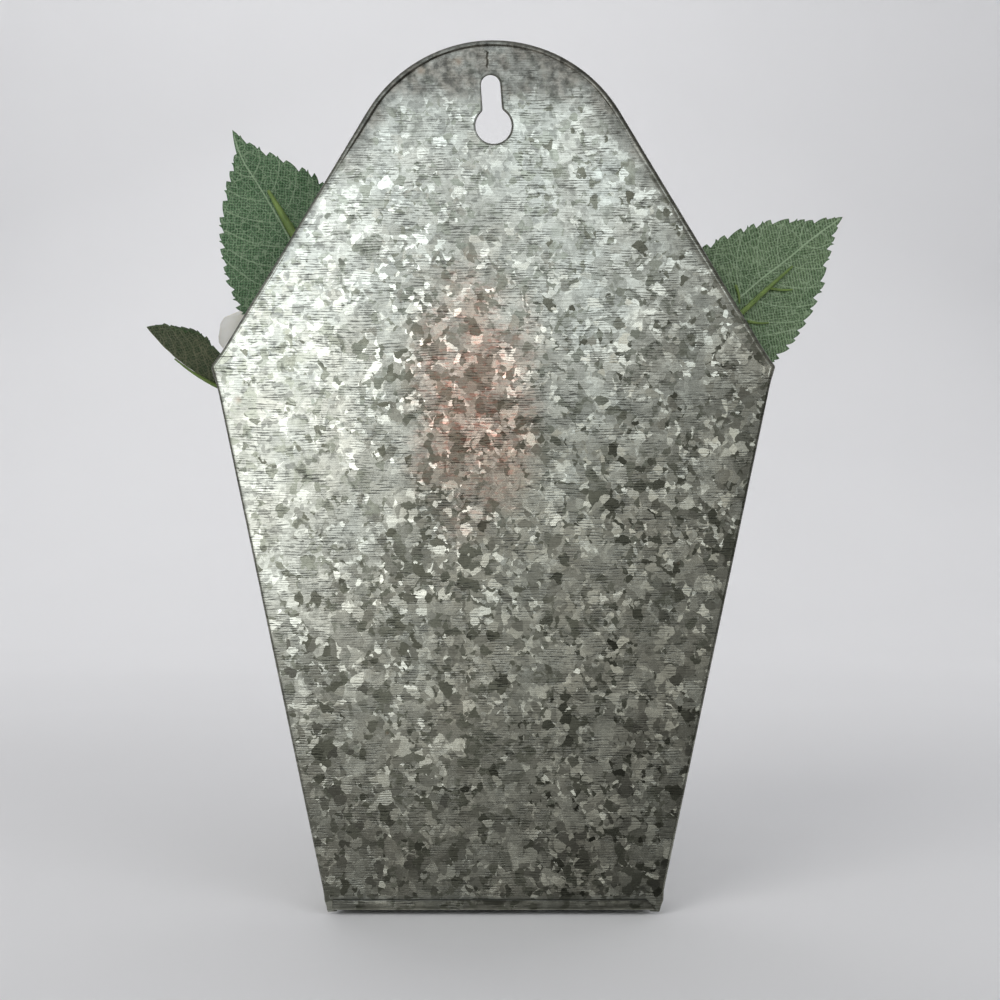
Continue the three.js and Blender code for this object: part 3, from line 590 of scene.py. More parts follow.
class Outline:
    """The back's outline as points that know how they move when the outline is inset."""

    def __init__(self):
        self.items = []

    def line(self, p, q, n, skip_a=0.0, skip_b=0.0, inward=None, kind="side"):
        p, q = np.array(p, float), np.array(q, float)
        length = np.linalg.norm(q - p)
        t = np.linspace(skip_a / length, 1 - skip_b / length, n)
        inw = np.array(inward, float)
        for s in t:
            self.items.append(("line", p + (q - p) * s, inw, kind))

    def curve(self, points, normals, kind):
        for p, nrm in zip(points, normals):
            self.items.append(("line", np.array(p), np.array(nrm), kind))

    def corner(self, before, at, after, r, n, kind):
        """A rounded corner between two straight edges."""
        before, at, after = map(lambda v: np.array(v, float), (before, at, after))
        a, b = (before - at) / np.linalg.norm(before - at), (after - at) / np.linalg.norm(after - at)
        half = math.acos(np.clip(np.dot(a, b), -1, 1)) / 2
        bis = (a + b) / np.linalg.norm(a + b)
        c = at + bis * r / math.sin(half)
        na, nb = at + a * r / math.tan(half) - c, at + b * r / math.tan(half) - c
        a0, a1 = math.atan2(na[1], na[0]), math.atan2(nb[1], nb[0])
        d = (a1 - a0 + math.pi) % (2 * math.pi) - math.pi
        for i in range(n):
            w = a0 + d * i / (n - 1)
            self.items.append(("arc", c, np.array([math.cos(w), math.sin(w)]), r, bis, math.sin(half), kind))

    def at(self, i, d):
        it = self.items[i]
        if it[0] == "line":
            return it[1] + it[2] * d
        _, c, e, r, bis, s, _ = it
        return c + e * (r - d) if d < r else c + bis * (d - r) / s


O = Outline()
RIGHT_SH = [X_CORNER, Z_CORNER]
LEFT_SH = [-X_CORNER, Z_CORNER]
sh_dir = (np.array(RIGHT_SH) - tan_pt) / np.linalg.norm(np.array(RIGHT_SH) - tan_pt)
sh_in = np.array([-math.cos(TAN), -math.sin(TAN)])
side_dir = np.array([X_FOOT - X_CORNER, Z_FOOT - Z_CORNER]) / math.hypot(X_FOOT - X_CORNER, Z_FOOT - Z_CORNER)
side_in = np.array([side_dir[1], -side_dir[0]])
mirror = np.array([-1.0, 1.0])
TAB = X_FOOT - HEM - 0.2
Z_IN = Z_BASE + SHEET + GAP
# counter-clockwise seen from the front (X right, Z up): from +X foot up the right side, over the arch, down the left
O.line([X_FOOT, Z_FOOT], RIGHT_SH, 105, 2.0, 3.2, side_in, "side")
O.corner([X_FOOT, Z_FOOT], RIGHT_SH, tan_pt, 2.4, 9, "ear")
O.line(RIGHT_SH, tan_pt, 60, 3.2, 0.4, sh_in, "shoulder")
ang = np.linspace(TAN, math.pi - TAN, 96)
O.curve([arc_c + R_ARCH * np.array([math.cos(a), math.sin(a)]) for a in ang], [[-math.cos(a), -math.sin(a)] for a in ang], "arch")
O.line(tan_pt * mirror, LEFT_SH, 60, 0.4, 3.0, sh_in * mirror, "shoulder")
O.corner(tan_pt * mirror, LEFT_SH, [-X_FOOT, Z_FOOT], 1.1, 9, "ear")
O.line(LEFT_SH, [-X_FOOT, Z_FOOT], 105, 3.0, 2.0, side_in * mirror, "side")
O.corner(LEFT_SH, [-X_FOOT, Z_FOOT], [-TAB, Z_FOOT + 0.15], 0.5, 6, "foot")
O.corner([-X_FOOT, Z_FOOT], [-TAB, Z_FOOT + 0.15], [-TAB, Z_IN], 0.35, 4, "foot")
O.line([-TAB, Z_IN], [TAB, Z_IN], 60, 0.0, 0.0, [0.0, 1.0], "base")
O.corner([TAB, Z_IN], [TAB, Z_FOOT + 0.15], [X_FOOT, Z_FOOT], 0.35, 4, "foot")
O.corner([TAB, Z_FOOT + 0.15], [X_FOOT, Z_FOOT], RIGHT_SH, 0.5, 6, "foot")
N_OUT = len(O.items)
outline0 = np.array([O.at(i, 0.0) for i in range(N_OUT)])
kinds = [it[-1] for it in O.items]


def edge_profile(i):
    """The edge profile at outline point i, blended where one kind of edge runs into the next."""
    x, z = outline0[i]
    k = kinds[i]
    if k in ("foot", "base"):
        return PLAIN
    if k == "side":
        top = float(smooth(-95.5, -99.5, z))          # flat at the shoulder corner, hem below it
        low = float(smooth(Z_FOOT + 0.9, Z_FOOT + 2.2, z))
        return PLAIN * (1 - low) + (FLUSH * (1 - top) + HEMP * top) * low
    if k == "ear":
        return FLUSH
    proud = float(smooth(-34.0, -12.0, z)) * (0.82 + 0.18 * fbm(x * 0.05, z * 0.05, 3.0))
    width = 1.0 + 0.07 * fbm(x * 0.09, z * 0.09, 8.0)
    p = FLUSH * (1 - proud) + BEAD * proud
    q = p.copy()
    q[4:-3, 0] = p[4:-3, 0] * width
    return q


def wave(x, z):
    """Gentle oil-canning of the sheet."""
    return 0.17 * fbm(x * 0.013 + 4, z * 0.013, 1.0, 2) + 0.05 * fbm(x * 0.05, z * 0.05 + 9, 2.0, 2) + 0.006 * fbm(x * 0.35, z * 0.35, 5.0, 1)


def crease_x(z):
    return 2.05 + 0.12 * math.sin(z * 2.3) + 0.10 * math.sin(z * 5.1 + 1) - 0.028 * (12.0 - z)


# the keyhole's outline, clockwise or not, evenly sampled and eased at the neck
d = np.array(SEAT_AT) - np.array(HOLE_AT)
up = d / np.linalg.norm(d)
across = np.array([up[1], -up[0]])
length = np.linalg.norm(d)
a0 = math.asin(SLOT_R / HOLE_R)
raw = []
for a in np.linspace(a0, 2 * math.pi - a0, 150):
    raw.append(np.array(HOLE_AT) + up * HOLE_R * math.cos(a) + across * HOLE_R * math.sin(a))
h0 = HOLE_R * math.cos(a0)
for t in np.linspace(0, 1, 30)[1:-1]:
    raw.append(np.array(HOLE_AT) + up * (h0 + (length - h0) * t) - across * SLOT_R)
for a in np.linspace(math.pi, 0, 60):
    raw.append(np.array(HOLE_AT) + up * (length + SLOT_R * math.sin(a)) + across * SLOT_R * math.cos(a))
for t in np.linspace(1, 0, 30)[1:-1]:
    raw.append(np.array(HOLE_AT) + up * (h0 + (length - h0) * t) + across * SLOT_R)
raw = np.array(raw)
s = np.concatenate([[0], np.cumsum(np.linalg.norm(np.diff(np.vstack([raw, raw[:1]]), axis=0), axis=1))])
NH = 150
even = np.stack([np.interp(np.linspace(0, s[-1], NH, endpoint=False), s, np.append(raw[:, c], raw[0, c])) for c in range(2)], 1)
ker = np.array([0.1, 0.2, 0.4, 0.2, 0.1])
for _ in range(2):
    even = sum(w * np.roll(even, o, axis=0) for w, o in zip(ker, range(-2, 3)))
tang = np.roll(even, -1, axis=0) - np.roll(even, 1, axis=0)
tang /= np.linalg.norm(tang, axis=1)[:, None]
hole_n = np.stack([tang[:, 1], -tang[:, 0]], 1)
centre = np.array(HOLE_AT)
if np.mean(((even - even.mean(0)) * hole_n).sum(1)) < 0:
    hole_n = -hole_n
hole = even
HOLE_PROFILE = [(0.62, Y_PANEL), (0.42, Y_PANEL + 0.015), (0.26, Y_PANEL + 0.06), (0.13, Y_PANEL + 0.055), (0.04, Y_PANEL - 0.02), (0.0, Y_PANEL - 0.14),
                (0.0, Y_FRONT + 0.14), (0.04, Y_FRONT + 0.03), (0.14, Y_FRONT), (0.34, Y_FRONT), (0.62, Y_FRONT)]


def build_back_panel():
    profiles = [edge_profile(i) for i in range(N_OUT)]
    K = len(profiles[0])
    verts, edge, crease = [], [], []
    for i in range(N_OUT):
        for dd, y in profiles[i]:
            p = O.at(i, dd)
            verts.append([p[0], y, p[1]])
            edge.append(max(dd, 0.0) if y > Y_FRONT - 0.02 else 0.0)
    faces = grid_faces(N_OUT, K, wrap_rows=True)
    at = len(verts)
    KH = len(HOLE_PROFILE)
    for i in range(NH):
        for dd, y in HOLE_PROFILE:
            p = hole[i] + hole_n[i] * dd
            verts.append([p[0], y, p[1]])
            edge.append(dd * 2.0 + 0.25)
    faces += [tuple(at + q for q in reversed(f)) for f in grid_faces(NH, KH, wrap_rows=True)]
    outer = np.array([O.at(i, profiles[i][0][0]) for i in range(N_OUT)])
    inner = np.array([hole[i] + hole_n[i] * HOLE_PROFILE[0][0] for i in range(NH)])
    # corners collapse where the inset passes their radius, so equal points are kept once
    keep = [0]
    for i in range(1, N_OUT):
        if np.linalg.norm(outer[i] - outer[keep[-1]]) > 0.04:
            keep.append(i)
    same = {}
    last = 0
    for i in range(N_OUT):
        if i in keep:
            last = i
        same[i] = last
    loop = outer[keep]
    step = 1.9
    gx, gz = np.meshgrid(np.arange(-94, 94.1, step), np.arange(-273, 15, step * 0.866))
    gx = gx + (np.arange(gz.shape[0]) % 2)[:, None] * step / 2
    g = np.stack([gx.ravel(), gz.ravel()], 1)
    g = g[inside(g, loop) & ~inside(g, inner)]
    g = g[(distance(g, loop) > 1.2) & (distance(g, inner) > 0.8)]
    cz = np.arange(5.2, 11.4, 0.22)
    line = []
    for o in (-0.9, -0.55, -0.32, -0.16, 0.0, 0.16, 0.32, 0.55, 0.9):
        line += [(crease_x(zz) + o, zz) for zz in cz]
    line = np.array(line)
    g = g[np.array([not (3.4 < p[1] < 12.2 and abs(p[0] - 2) < 2.0) for p in g])]
    ringr = []
    for dd in (1.05, 1.6):
        ringr.append(hole[::2] + hole_n[::2] * dd)
    ringr = np.concatenate(ringr)
    g = g[distance(g, inner) > 1.5]
    extra = np.concatenate([g, line, ringr])
    extra = extra[inside(extra, loop) & ~inside(extra, inner)]
    extra = extra[distance(extra, loop) > 0.3]
    pts, tris = triangulate([loop, inner], extra)
    n_loop = len(loop)
    rear_id, front_id = {}, {}
    for q in range(len(pts)):
        if q < n_loop:
            rear_id[q], front_id[q] = keep[q] * K, keep[q] * K + K - 1
        elif q < n_loop + NH:
            rear_id[q], front_id[q] = at + (q - n_loop) * KH, at + (q - n_loop) * KH + KH - 1
    de = distance(pts, outline0)
    for q in range(n_loop + NH, len(pts)):
        x, z = pts[q]
        rear_id[q] = len(verts)
        verts.append([x, Y_PANEL, z])
        edge.append(de[q])
        front_id[q] = len(verts)
        verts.append([x, Y_FRONT, z])
        edge.append(de[q])
    faces += [tuple(rear_id[i] for i in t) for t in tris]
    faces += [tuple(front_id[i] for i in reversed(t)) for t in tris]
    # the same point of a collapsed corner is one vertex
    for i in range(N_OUT):
        if same[i] != i:
            for c in (0, K - 1):
                verts[i * K + c] = list(verts[same[i] * K + c])
    verts = np.array(verts)
    mask = smooth(2.0, 16.0, distance(verts[:, [0, 2]], outline0)) * smooth(-268.0, -255.0, verts[:, 2])
    verts[:, 1] += np.array([wave(x, z) for x, _, z in verts]) * mask
    dx = verts[:, 0] - np.array([crease_x(z) for z in verts[:, 2]])
    along = smooth(5.0, 6.5, verts[:, 2]) * smooth(13.6, 12.0, verts[:, 2])
    groove = np.exp(-(dx / 0.22) ** 2) * along
    verts[:, 1] -= 0.20 * groove * (verts[:, 1] > Y_FRONT - 0.3)
    # painted shade: the crease attribute darkens the sheet along this groove
    crease = groove * 0.9
    # slightly bulged ears, from folding
    for sx, amp, wd, cx, cz_ in ((1, 0.75, 4.5, X_CORNER, Z_CORNER - 1.0), (-1, 0.5, 3.0, X_CORNER, Z_CORNER - 1.0), (-1, 0.6, 1.9, 55.6, -269.2), (1, 0.3, 1.6, 55.6, -269.6)):
        c = np.array([sx * cx, cz_])
        r2 = ((verts[:, [0, 2]] - c) ** 2).sum(1)
        w = np.exp(-r2 / wd ** 2)
        verts[:, 0] += sx * amp * w
    return verts, faces, edge, crease


verts, faces, edge, crease = build_back_panel()
back = make("back_panel_sheet", verts, faces, M_BACK, "planter", "back_panel", {"edge_mm": edge, "crease": crease}, sharp=50)


def weld(obj, distance_mm=0.004):
    import bmesh
    bm = bmesh.new()
    bm.from_mesh(obj.data)
    bmesh.ops.remove_doubles(bm, verts=bm.verts, dist=distance_mm * MM)
    bmesh.ops.dissolve_degenerate(bm, edges=bm.edges, dist=distance_mm * MM * 0.5)
    bmesh.ops.recalc_face_normals(bm, faces=bm.faces)
    bm.to_mesh(obj.data)
    bm.free()
    obj.data.shade_smooth()
    obj.data.set_sharp_from_angle(angle=math.radians(50))


weld(back)

# wire inside the rolled top edge, following the roll
wire = Bag()
path = []
for i in range(N_OUT):
    if kinds[i] in ("shoulder", "arch"):
        x, z = outline0[i]
        proud = float(smooth(-34.0, -12.0, z)) * (0.82 + 0.18 * fbm(x * 0.05, z * 0.05, 3.0))
        p = O.at(i, 1.3)
        path.append([p[0], (Y_PANEL - 1.3) * (1 - proud) + Y_BEAD * proud, p[1]])
tube(wire, np.array(path)[2:-2], 0.5, 10)
make("top_edge_wire_round", wire.v, wire.f, M_WIRE, "planter", "top_edge_wire")

# ------------------------------------------------------------------ front shell
def shell_columns():
    """Plan of the shell's middle surface as a function of height: fractions round it, flange, bend, half ellipse, bend, flange."""
    cols = []
    for s in (0.0, 0.35, 0.7):
        cols.append(("flange", 1, s))
    for w in np.linspace(0, 1, 6):
        cols.append(("bend", 1, w))
    for t in np.linspace(0, 1, 121)[1:-1]:
        cols.append(("arc", 0, t))
    for w in np.linspace(1, 0, 6):
        cols.append(("bend", -1, w))
    for s in (0.7, 0.35, 0.0):
        cols.append(("flange", -1, s))
    return cols


def shell_plan(z):
    """Points of the middle surface and outward normals at a height."""
    h = SHEET / 2
    yf = Y_FLANGE - h
    a, b = shell_a(z) - h, shell_b(z) + Y_FLANGE - h
    r = 0.75
    tip = side_x(z) - SHEET - 0.2
    xb = a + r
    pts = []
    for kind, sgn, s in shell_columns():
        if kind == "flange":
            pts.append([sgn * (tip + (xb - tip) * s), yf])
        elif kind == "bend":
            w = s * math.pi / 2
            pts.append([sgn * (xb - r * math.sin(w)), yf - r * (1 - math.cos(w))])
        else:
            s0 = math.asin((r + h) / b)
            t = s0 + (math.pi - 2 * s0) * s
            pts.append([a * math.cos(t), Y_FLANGE - b * math.sin(t)])
    pts = np.array(pts)
    tg = np.gradient(pts, axis=0)
    tg /= np.linalg.norm(tg, axis=1)[:, None]
    return pts, np.stack([-tg[:, 1], tg[:, 0]], 1)


def build_shell():
    cols = shell_columns()
    n = len(cols)
    levels = list(np.linspace(Z_IN, Z_RIM - 1.6, 64))
    rings = []          # (points, offset along the outward normal, z)
    p0, n0 = shell_plan(Z_RIM)
    out_sign = 1.0 if np.dot(n0[n // 2], [0, -1]) > 0 else -1.0
    h = SHEET / 2
    # how far round from the flange each column is: the bead fades out there
    fade = np.array([0.0 if k[0] != "arc" else float(smooth(0.0, 0.015, min(k[2], 1 - k[2]))) for k in cols])
    for z in levels:
        p, q = shell_plan(z)
        rings.append((p + q * out_sign * h, z, min(abs(z - Z_IN), 9)))
    bead_o = arc(0, 0, RIM_OUT, 282, -45, 22)
    bead_i = arc(0, 0, 0.65, -45, 290, 16)
    top_plain = Z_RIM - 0.8

    def bead_ring(u, v, plain_u, plain_z):
        p, q = shell_plan(Z_RIM)
        off = u * fade + plain_u * (1 - fade)
        zz = (Z_RIM + v) * fade + plain_z * (1 - fade)
        wob = np.array([0.05 * fbm(x * 0.08, y * 0.08, 4.0) for x, y in p]) * fade
        return (p + q * out_sign * off[:, None], zz + wob, 0.6)
    for i, (u, v) in enumerate(bead_o):
        f = i / (len(bead_o) - 1)
        rings.append(bead_ring(u, v, h * (1 - f), Z_RIM - 1.3 + (top_plain - Z_RIM + 1.3) * min(1, f * 1.3)))
    for i, (u, v) in enumerate(bead_i):
        f = i / (len(bead_i) - 1)
        rings.append(bead_ring(u, v, -h * f, top_plain - (0.5) * max(0, f - 0.3)))
    for z in reversed(levels):
        p, q = shell_plan(z)
        rings.append((p - q * out_sign * h, z, min(abs(z - Z_IN), 9)))
    verts, edge = [], []
    for p, z, e in rings:
        zz = np.broadcast_to(z, (n,))
        for j in range(n):
            verts.append([p[j][0], p[j][1], zz[j]])
            edge.append(e)
    m = len(rings)
    faces = grid_faces(m, n, wrap_rows=True)
    verts = np.array(verts)
    # dents and gentle waves on the free wall
    t = np.array([fade[j] for _ in range(m) for j in range(n)])
    w = np.array([0.30 * fbm(x * 0.012, z * 0.014, y * 0.012, 2) + 0.06 * fbm(x * 0.06, z * 0.06, y * 0.06, 2) for x, y, z in verts])
    r = np.hypot(verts[:, 0], verts[:, 1] - Y_FLANGE)
    amp = t * smooth(Z_IN + 3, Z_IN + 25, verts[:, 2]) * smooth(Z_RIM - 1, Z_RIM - 20, verts[:, 2])
    verts[:, 0] += verts[:, 0] / r * w * amp
    verts[:, 1] += (verts[:, 1] - Y_FLANGE) / r * w * amp
    # end caps at the flange tips are the strips between first and last columns of the ring stack
    caps = []
    half = m // 2
    for j in (0, n - 1):
        ids = [i * n + j for i in range(m)]
        a, b = 0, m - 1
        while b - a > 1:
            quad = (ids[a], ids[a + 1], ids[b - 1], ids[b]) if a + 1 < b - 1 else (ids[a], ids[a + 1], ids[b])
            caps.append(quad if j == 0 else tuple(reversed(quad)))
            a += 1
            b -= 1
    return verts, faces + caps, edge


verts, faces, edge = build_shell()
shell = make("front_shell_sheet", verts, faces, M_SHELL, "planter", "front_shell", {"edge_mm": edge})
weld(shell, 0.002)

wire = Bag()
p, q = shell_plan(Z_RIM)
path = [[p[j][0], p[j][1], Z_RIM] for j in range(len(p)) if shell_columns()[j][0] == "arc"]
tube(wire, np.array(path)[4:-4], 0.4, 10)
make("rim_wire_round", wire.v, wire.f, M_WIRE, "planter", "rim_wire")

# ------------------------------------------------------------------ bottom panel
def build_bottom():
    bag = Bag()
    t = SHEET
    # pan: floor and turned-up wall round the shell
    n = 130
    y_rear = Y_FLANGE - 2 * SHEET - GAP - 0.15
    grow = GAP + SHEET

    def ring(z_at, g):
        a, b = shell_a(Z_BASE + 2) + g, shell_b(Z_BASE + 2) + Y_FLANGE + g
        s0 = math.asin((Y_FLANGE - y_rear) / b)
        w = np.linspace(s0, math.pi - s0, n)
        lean = 1 + (z_at - (Z_BASE + 2)) * 0.0
        return [[a * lean * math.cos(v), Y_FLANGE - b * lean * math.sin(v), z_at + 0.0] for v in w]
    r = 0.7
    prof = [(-8.0, Z_BASE), (-4.0, Z_BASE)]
    prof += [(-r + r * math.sin(w), Z_BASE + r - r * math.cos(w)) for w in np.linspace(0, math.pi / 2, 7)]
    prof += [(0.0, z) for z in np.linspace(Z_BASE + r + 0.4, STRIP_TOP - 0.1, 6)]
    prof += [(-0.08, STRIP_TOP), (-t + 0.08, STRIP_TOP)]
    prof += [(-t, z) for z in np.linspace(STRIP_TOP - 0.1, Z_BASE + r + 0.4, 6)]
    prof += [(-t - (r - t) * (1 - math.cos(w)) - 0.0, Z_BASE + t + (r - t) * (1 - math.sin(w))) for w in np.linspace(0, math.pi / 2, 4)]
    prof += [(-4.0, Z_BASE + t), (-8.0, Z_BASE + t)]
    rings, edges = [], []
    for off, z in prof:
        rr = ring(z, grow + off)
        wob = [0.18 * fbm(p[0] * 0.06, p[1] * 0.06, 6.0) if z > Z_BASE + 2.6 else 0.0 for p in rr]
        rings.append([[p[0], p[1], min(p[2] + w, STRIP_TOP)] for p, w in zip(rr, wob)])
        edges.append(STRIP_TOP - z if off > -t - 0.01 else 3.0)
    verts = [p for rr in rings for p in rr]
    edge = [e for e, rr in zip(edges, rings) for _ in rr]
    m = len(rings)
    faces = grid_faces(m, n)
    # floor inside the first and last rings, closed along the rear edge
    lower, upper = 0, (m - 1) * n
    lc = len(verts); verts.append([0, y_rear - 14, Z_BASE]); edge.append(9)
    uc = len(verts); verts.append([0, y_rear - 14, Z_BASE + t]); edge.append(9)
    for j in range(n - 1):
        faces.append((lc, lower + j + 1, lower + j))
        faces.append((uc, upper + j, upper + j + 1))
    faces.append((lc, lower, lower + n - 1))
    faces.append((uc, upper + n - 1, upper))
    # rear cut of the two ends of the wall and the straight edge of the floor
    for j in (0, n - 1):
        ids = [i * n + j for i in range(m)]
        a, b = 0, m - 1
        while b - a > 1:
            q = (ids[a], ids[a + 1], ids[b - 1], ids[b]) if a + 1 < b - 1 else (ids[a], ids[a + 1], ids[b])
            faces.append(q if j else tuple(reversed(q)))
            a += 1
            b -= 1
    faces.append((lower, upper, upper + n - 1, lower + n - 1))
    bag.add(verts, faces, {"edge_mm": edge})
    # rear part of the floor and the strip folded up over the back
    n2 = 90
    prof = [(y_rear + 0.0, Z_BASE, 0), (-1.4, Z_BASE, 0)]
    prof += [(-0.75 + 0.75 * math.sin(w), Z_BASE + 0.75 - 0.75 * math.cos(w), 0) for w in np.linspace(0.1, math.pi / 2, 7)]
    prof += [(0.0, z, 1) for z in np.linspace(Z_BASE + 1.0, STRIP_TOP - 0.12, 8)]
    prof += [(-0.1, STRIP_TOP, 1), (-t + 0.1, STRIP_TOP, 1), (-t, STRIP_TOP - 0.12, 1)]
    prof += [(-t, z, 1) for z in np.linspace(STRIP_TOP - 0.4, Z_BASE + 1.0, 6)]
    prof += [(-t - 0.2 * (1 - math.cos(w)), Z_BASE + t + 0.2 * (1 - math.sin(w)), 0) for w in np.linspace(0, math.pi / 2, 4)]
    prof += [(-1.4, Z_BASE + t, 0), (y_rear + 0.0, Z_BASE + t, 0)]
    verts, edge = [], []
    for i in range(n2):
        s = i / (n2 - 1)
        for y, z, up_part in prof:
            f = np.clip((z - Z_BASE) / (STRIP_TOP - Z_BASE), 0, 1)
            right = 53.4 - 0.5 * f
            left = -(53.3 - 2.9 * f ** 1.2)
            if y < -1.5:
                right, left = TAB - 0.5, -(TAB - 0.5)
            elif not up_part and y < -0.6:
                right, left = 53.2, -53.2
            x = right + (left - right) * s
            wob = (0.28 * fbm(x * 0.035, 1.5, 3.0, 2) + 0.10 * fbm(x * 0.22, 7.0, 1.0, 2) - 0.12) * smooth(Z_BASE + 1.6, STRIP_TOP, z)
            yy = y + 0.10 * fbm(x * 0.05, z * 0.3, 2.0, 2) * f - 0.10 * f
            verts.append([x, min(yy, 0.0), z + float(wob)])
            edge.append(abs(STRIP_TOP - z) + 0.35 if up_part else 1.4)
    kk = len(prof)
    faces = grid_faces(n2, kk, wrap_cols=True)
    faces.append(tuple(range(kk)))
    faces.append(tuple(reversed([(n2 - 1) * kk + i for i in range(kk)])))
    bag.add(verts, faces, {"edge_mm": edge})
    return bag


bag = build_bottom()
bottom = make("bottom_panel_sheet", bag.v, bag.f, M_BASE, "planter", "bottom_panel", bag.a)
weld(bottom, 0.002)

# ------------------------------------------------------------------ foliage materials
def leaf_material():
    """Printed and woven polyester: pale veins, a fine net between them, and a ribbed weave."""
    k = Mat("leaf_fabric")
    uv = k.node("ShaderNodeUVMap", {"uv_map": "uv_mm"}).outputs[0]
    u, v, _ = k.split(uv)
    P = k.coords()
    under = k.attr("under")
    mid = k.attr("vein_mid")
    side = k.attr("vein_side")
    thread = k.remap(k.noise(P, 2.3, 2.0, 0.6), 0.38, 0.58, 0.45, 1.0)
    mid_line = k.math("MULTIPLY", k.remap(k.math("ADD", mid, k.math("MULTIPLY", k.noise(P, 1.3, 2.0), 0.25)), 0.55, 0.22), k.remap(thread, 0.45, 1.0, 0.75, 1.0))
    side_line = k.math("MULTIPLY", k.remap(k.math("ADD", side, k.math("MULTIPLY", k.noise(P, 1.1, 2.0), 0.35)), 0.55, 0.22), thread)
    warped = k.vec("ADD", uv, k.vec("SCALE", k.noise(uv, 0.5, 2.0, color=True), 1.2))
    net1 = k.remap(k.cells(warped, 0.42, "DISTANCE_TO_EDGE", out="Distance"), 0.075, 0.02)
    net2 = k.remap(k.cells(k.vec("ADD", warped, (9.0, 4.0, 0.0)), 0.95, "DISTANCE_TO_EDGE", out="Distance"), 0.09, 0.02)
    net = k.math("MAXIMUM", net1, k.math("MULTIPLY", net2, 0.55))
    # weave: warp and weft threads about 0.35 mm apart, ribbed on some leaves
    kind = k.attr("kind")
    th = math.radians(27)
    a = k.math("ADD", k.math("MULTIPLY", u, math.cos(th)), k.math("MULTIPLY", v, math.sin(th)))
    b = k.math("SUBTRACT", k.math("MULTIPLY", v, math.cos(th)), k.math("MULTIPLY", u, math.sin(th)))
    wa = k.math("SINE", k.math("MULTIPLY", a, 2 * math.pi / 0.98))
    wb = k.math("SINE", k.math("MULTIPLY", b, 2 * math.pi / 0.94))
    rib = k.math("MULTIPLY", k.remap(k.noise(P, 0.045, 1.0), 0.40, 0.55), kind)
    weave = k.mix(rib, k.join(k.math("MULTIPLY", k.math("ADD", wa, wb), 0.6), 0.0, 0.0), k.join(wa, 0.0, 0.0))
    weave, _, _ = k.split(weave)
    blotch = k.noise(P, 0.10, 3.0, 0.6)
    fleck = k.noise(P, 1.5, 2.0, 0.6)
    g_under = k.mix(k.remap(blotch, 0.3, 0.7), (0.068, 0.142, 0.066), (0.104, 0.196, 0.098))
    g_olive = k.mix(k.remap(blotch, 0.3, 0.7), (0.098, 0.162, 0.080), (0.142, 0.212, 0.112))
    g_upper = k.mix(k.remap(blotch, 0.3, 0.7), (0.036, 0.080, 0.026), (0.058, 0.118, 0.040))
    col = k.mix(under, g_upper, k.mix(kind, g_under, g_olive))
    col = k.mix(k.math("MULTIPLY", k.remap(weave, -0.7, 0.4), 0.80), k.vec("SCALE", col, 1.14), k.vec("SCALE", col, 0.27))
    col = k.mix(k.math("MULTIPLY", k.remap(fleck, 0.53, 0.68), 0.34), col, (0.25, 0.32, 0.20))
    vein_u = (0.34, 0.44, 0.29)
    vein_c = k.mix(under, (0.10, 0.20, 0.07), vein_u)
    col = k.mix(k.math("MULTIPLY", net, 0.46), col, vein_c)
    col = k.mix(k.math("MULTIPLY", side_line, 0.58), col, vein_c)
    col = k.mix(k.math("MULTIPLY", mid_line, 0.76), col, vein_c)
    # painted shade: the low left leaf is darkened and browned as if in shadow
    col = k.mix(k.attr("painted_leaf_shade"), col, k.vec("MULTIPLY", col, (0.60, 0.46, 0.42)))
    edge = k.attr("edge_mm")
    col = k.mix(k.math("MULTIPLY", k.remap(edge, 0.45, 0.05), 0.45), col, (0.05, 0.10, 0.04))
    h = k.math("ADD", k.math("MULTIPLY", weave, 0.4), k.math("MULTIPLY", net, 0.3))
    nrm = k.bump(h, 0.00012, 0.6)
    return k.principled(Base_Color=col, Roughness=0.78, Sheen_Weight=0.12, Sheen_Roughness=0.5, Specular_IOR_Level=0.25, Subsurface_Weight=0.12,
                        Subsurface_Radius=(0.4, 1.0, 0.3), Subsurface_Scale=0.0009, Normal=nrm)


def petal_material():
    """Cream satin cloth, a little see-through, creased, darker and greener towards the heart of the flower."""
    k = Mat("petal_fabric")
    uv = k.node("ShaderNodeUVMap", {"uv_map": "uv_mm"}).outputs[0]
    u, v, _ = k.split(uv)
    P = k.coords()
    depth = k.attr("depth")
    wu = k.math("SINE", k.math("MULTIPLY", u, 2 * math.pi / 0.42))
    wv = k.math("SINE", k.math("MULTIPLY", v, 2 * math.pi / 0.42))
    weave = k.math("MULTIPLY", wu, wv)
    crease = k.noise(k.join(k.math("MULTIPLY", u, 0.55), k.math("MULTIPLY", v, 0.07), 0.0), 1.0, 3.0, 0.6)
    tone = k.noise(P, 0.06, 3.0, 0.6)
    col = k.mix(k.remap(tone, 0.3, 0.7), (0.965, 0.945, 0.72), (0.99, 0.975, 0.81))
    col = k.mix(k.math("MULTIPLY", k.remap(depth, 0.55, 0.0), 0.75), col, (0.60, 0.62, 0.36))
    # painted shade: the cloth is darkened along the creases
    col = k.mix(k.math("MULTIPLY", k.remap(crease, 0.52, 0.68), 0.16), col, (0.70, 0.66, 0.52))
    col = k.mix(k.math("MULTIPLY", k.remap(weave, -0.2, -0.9), 0.10), col, (0.62, 0.60, 0.50))
    edge = k.attr("edge_mm")
    col = k.mix(k.math("MULTIPLY", k.remap(edge, 1.1, 0.0), k.math("MULTIPLY", k.noise(P, 0.5, 2.0), 0.45)), col, (0.74, 0.62, 0.44))
    h = k.math("ADD", k.math("MULTIPLY", weave, 0.12), k.math("MULTIPLY", crease, 1.3))
    return k.principled(Base_Color=col, Roughness=0.62, Sheen_Weight=0.35, Sheen_Roughness=0.45, Specular_IOR_Level=0.35, Subsurface_Weight=1.0,
                        Subsurface_Radius=(1.0, 0.95, 0.72), Subsurface_Scale=0.009, Normal=k.bump(h, 0.00022, 0.5))


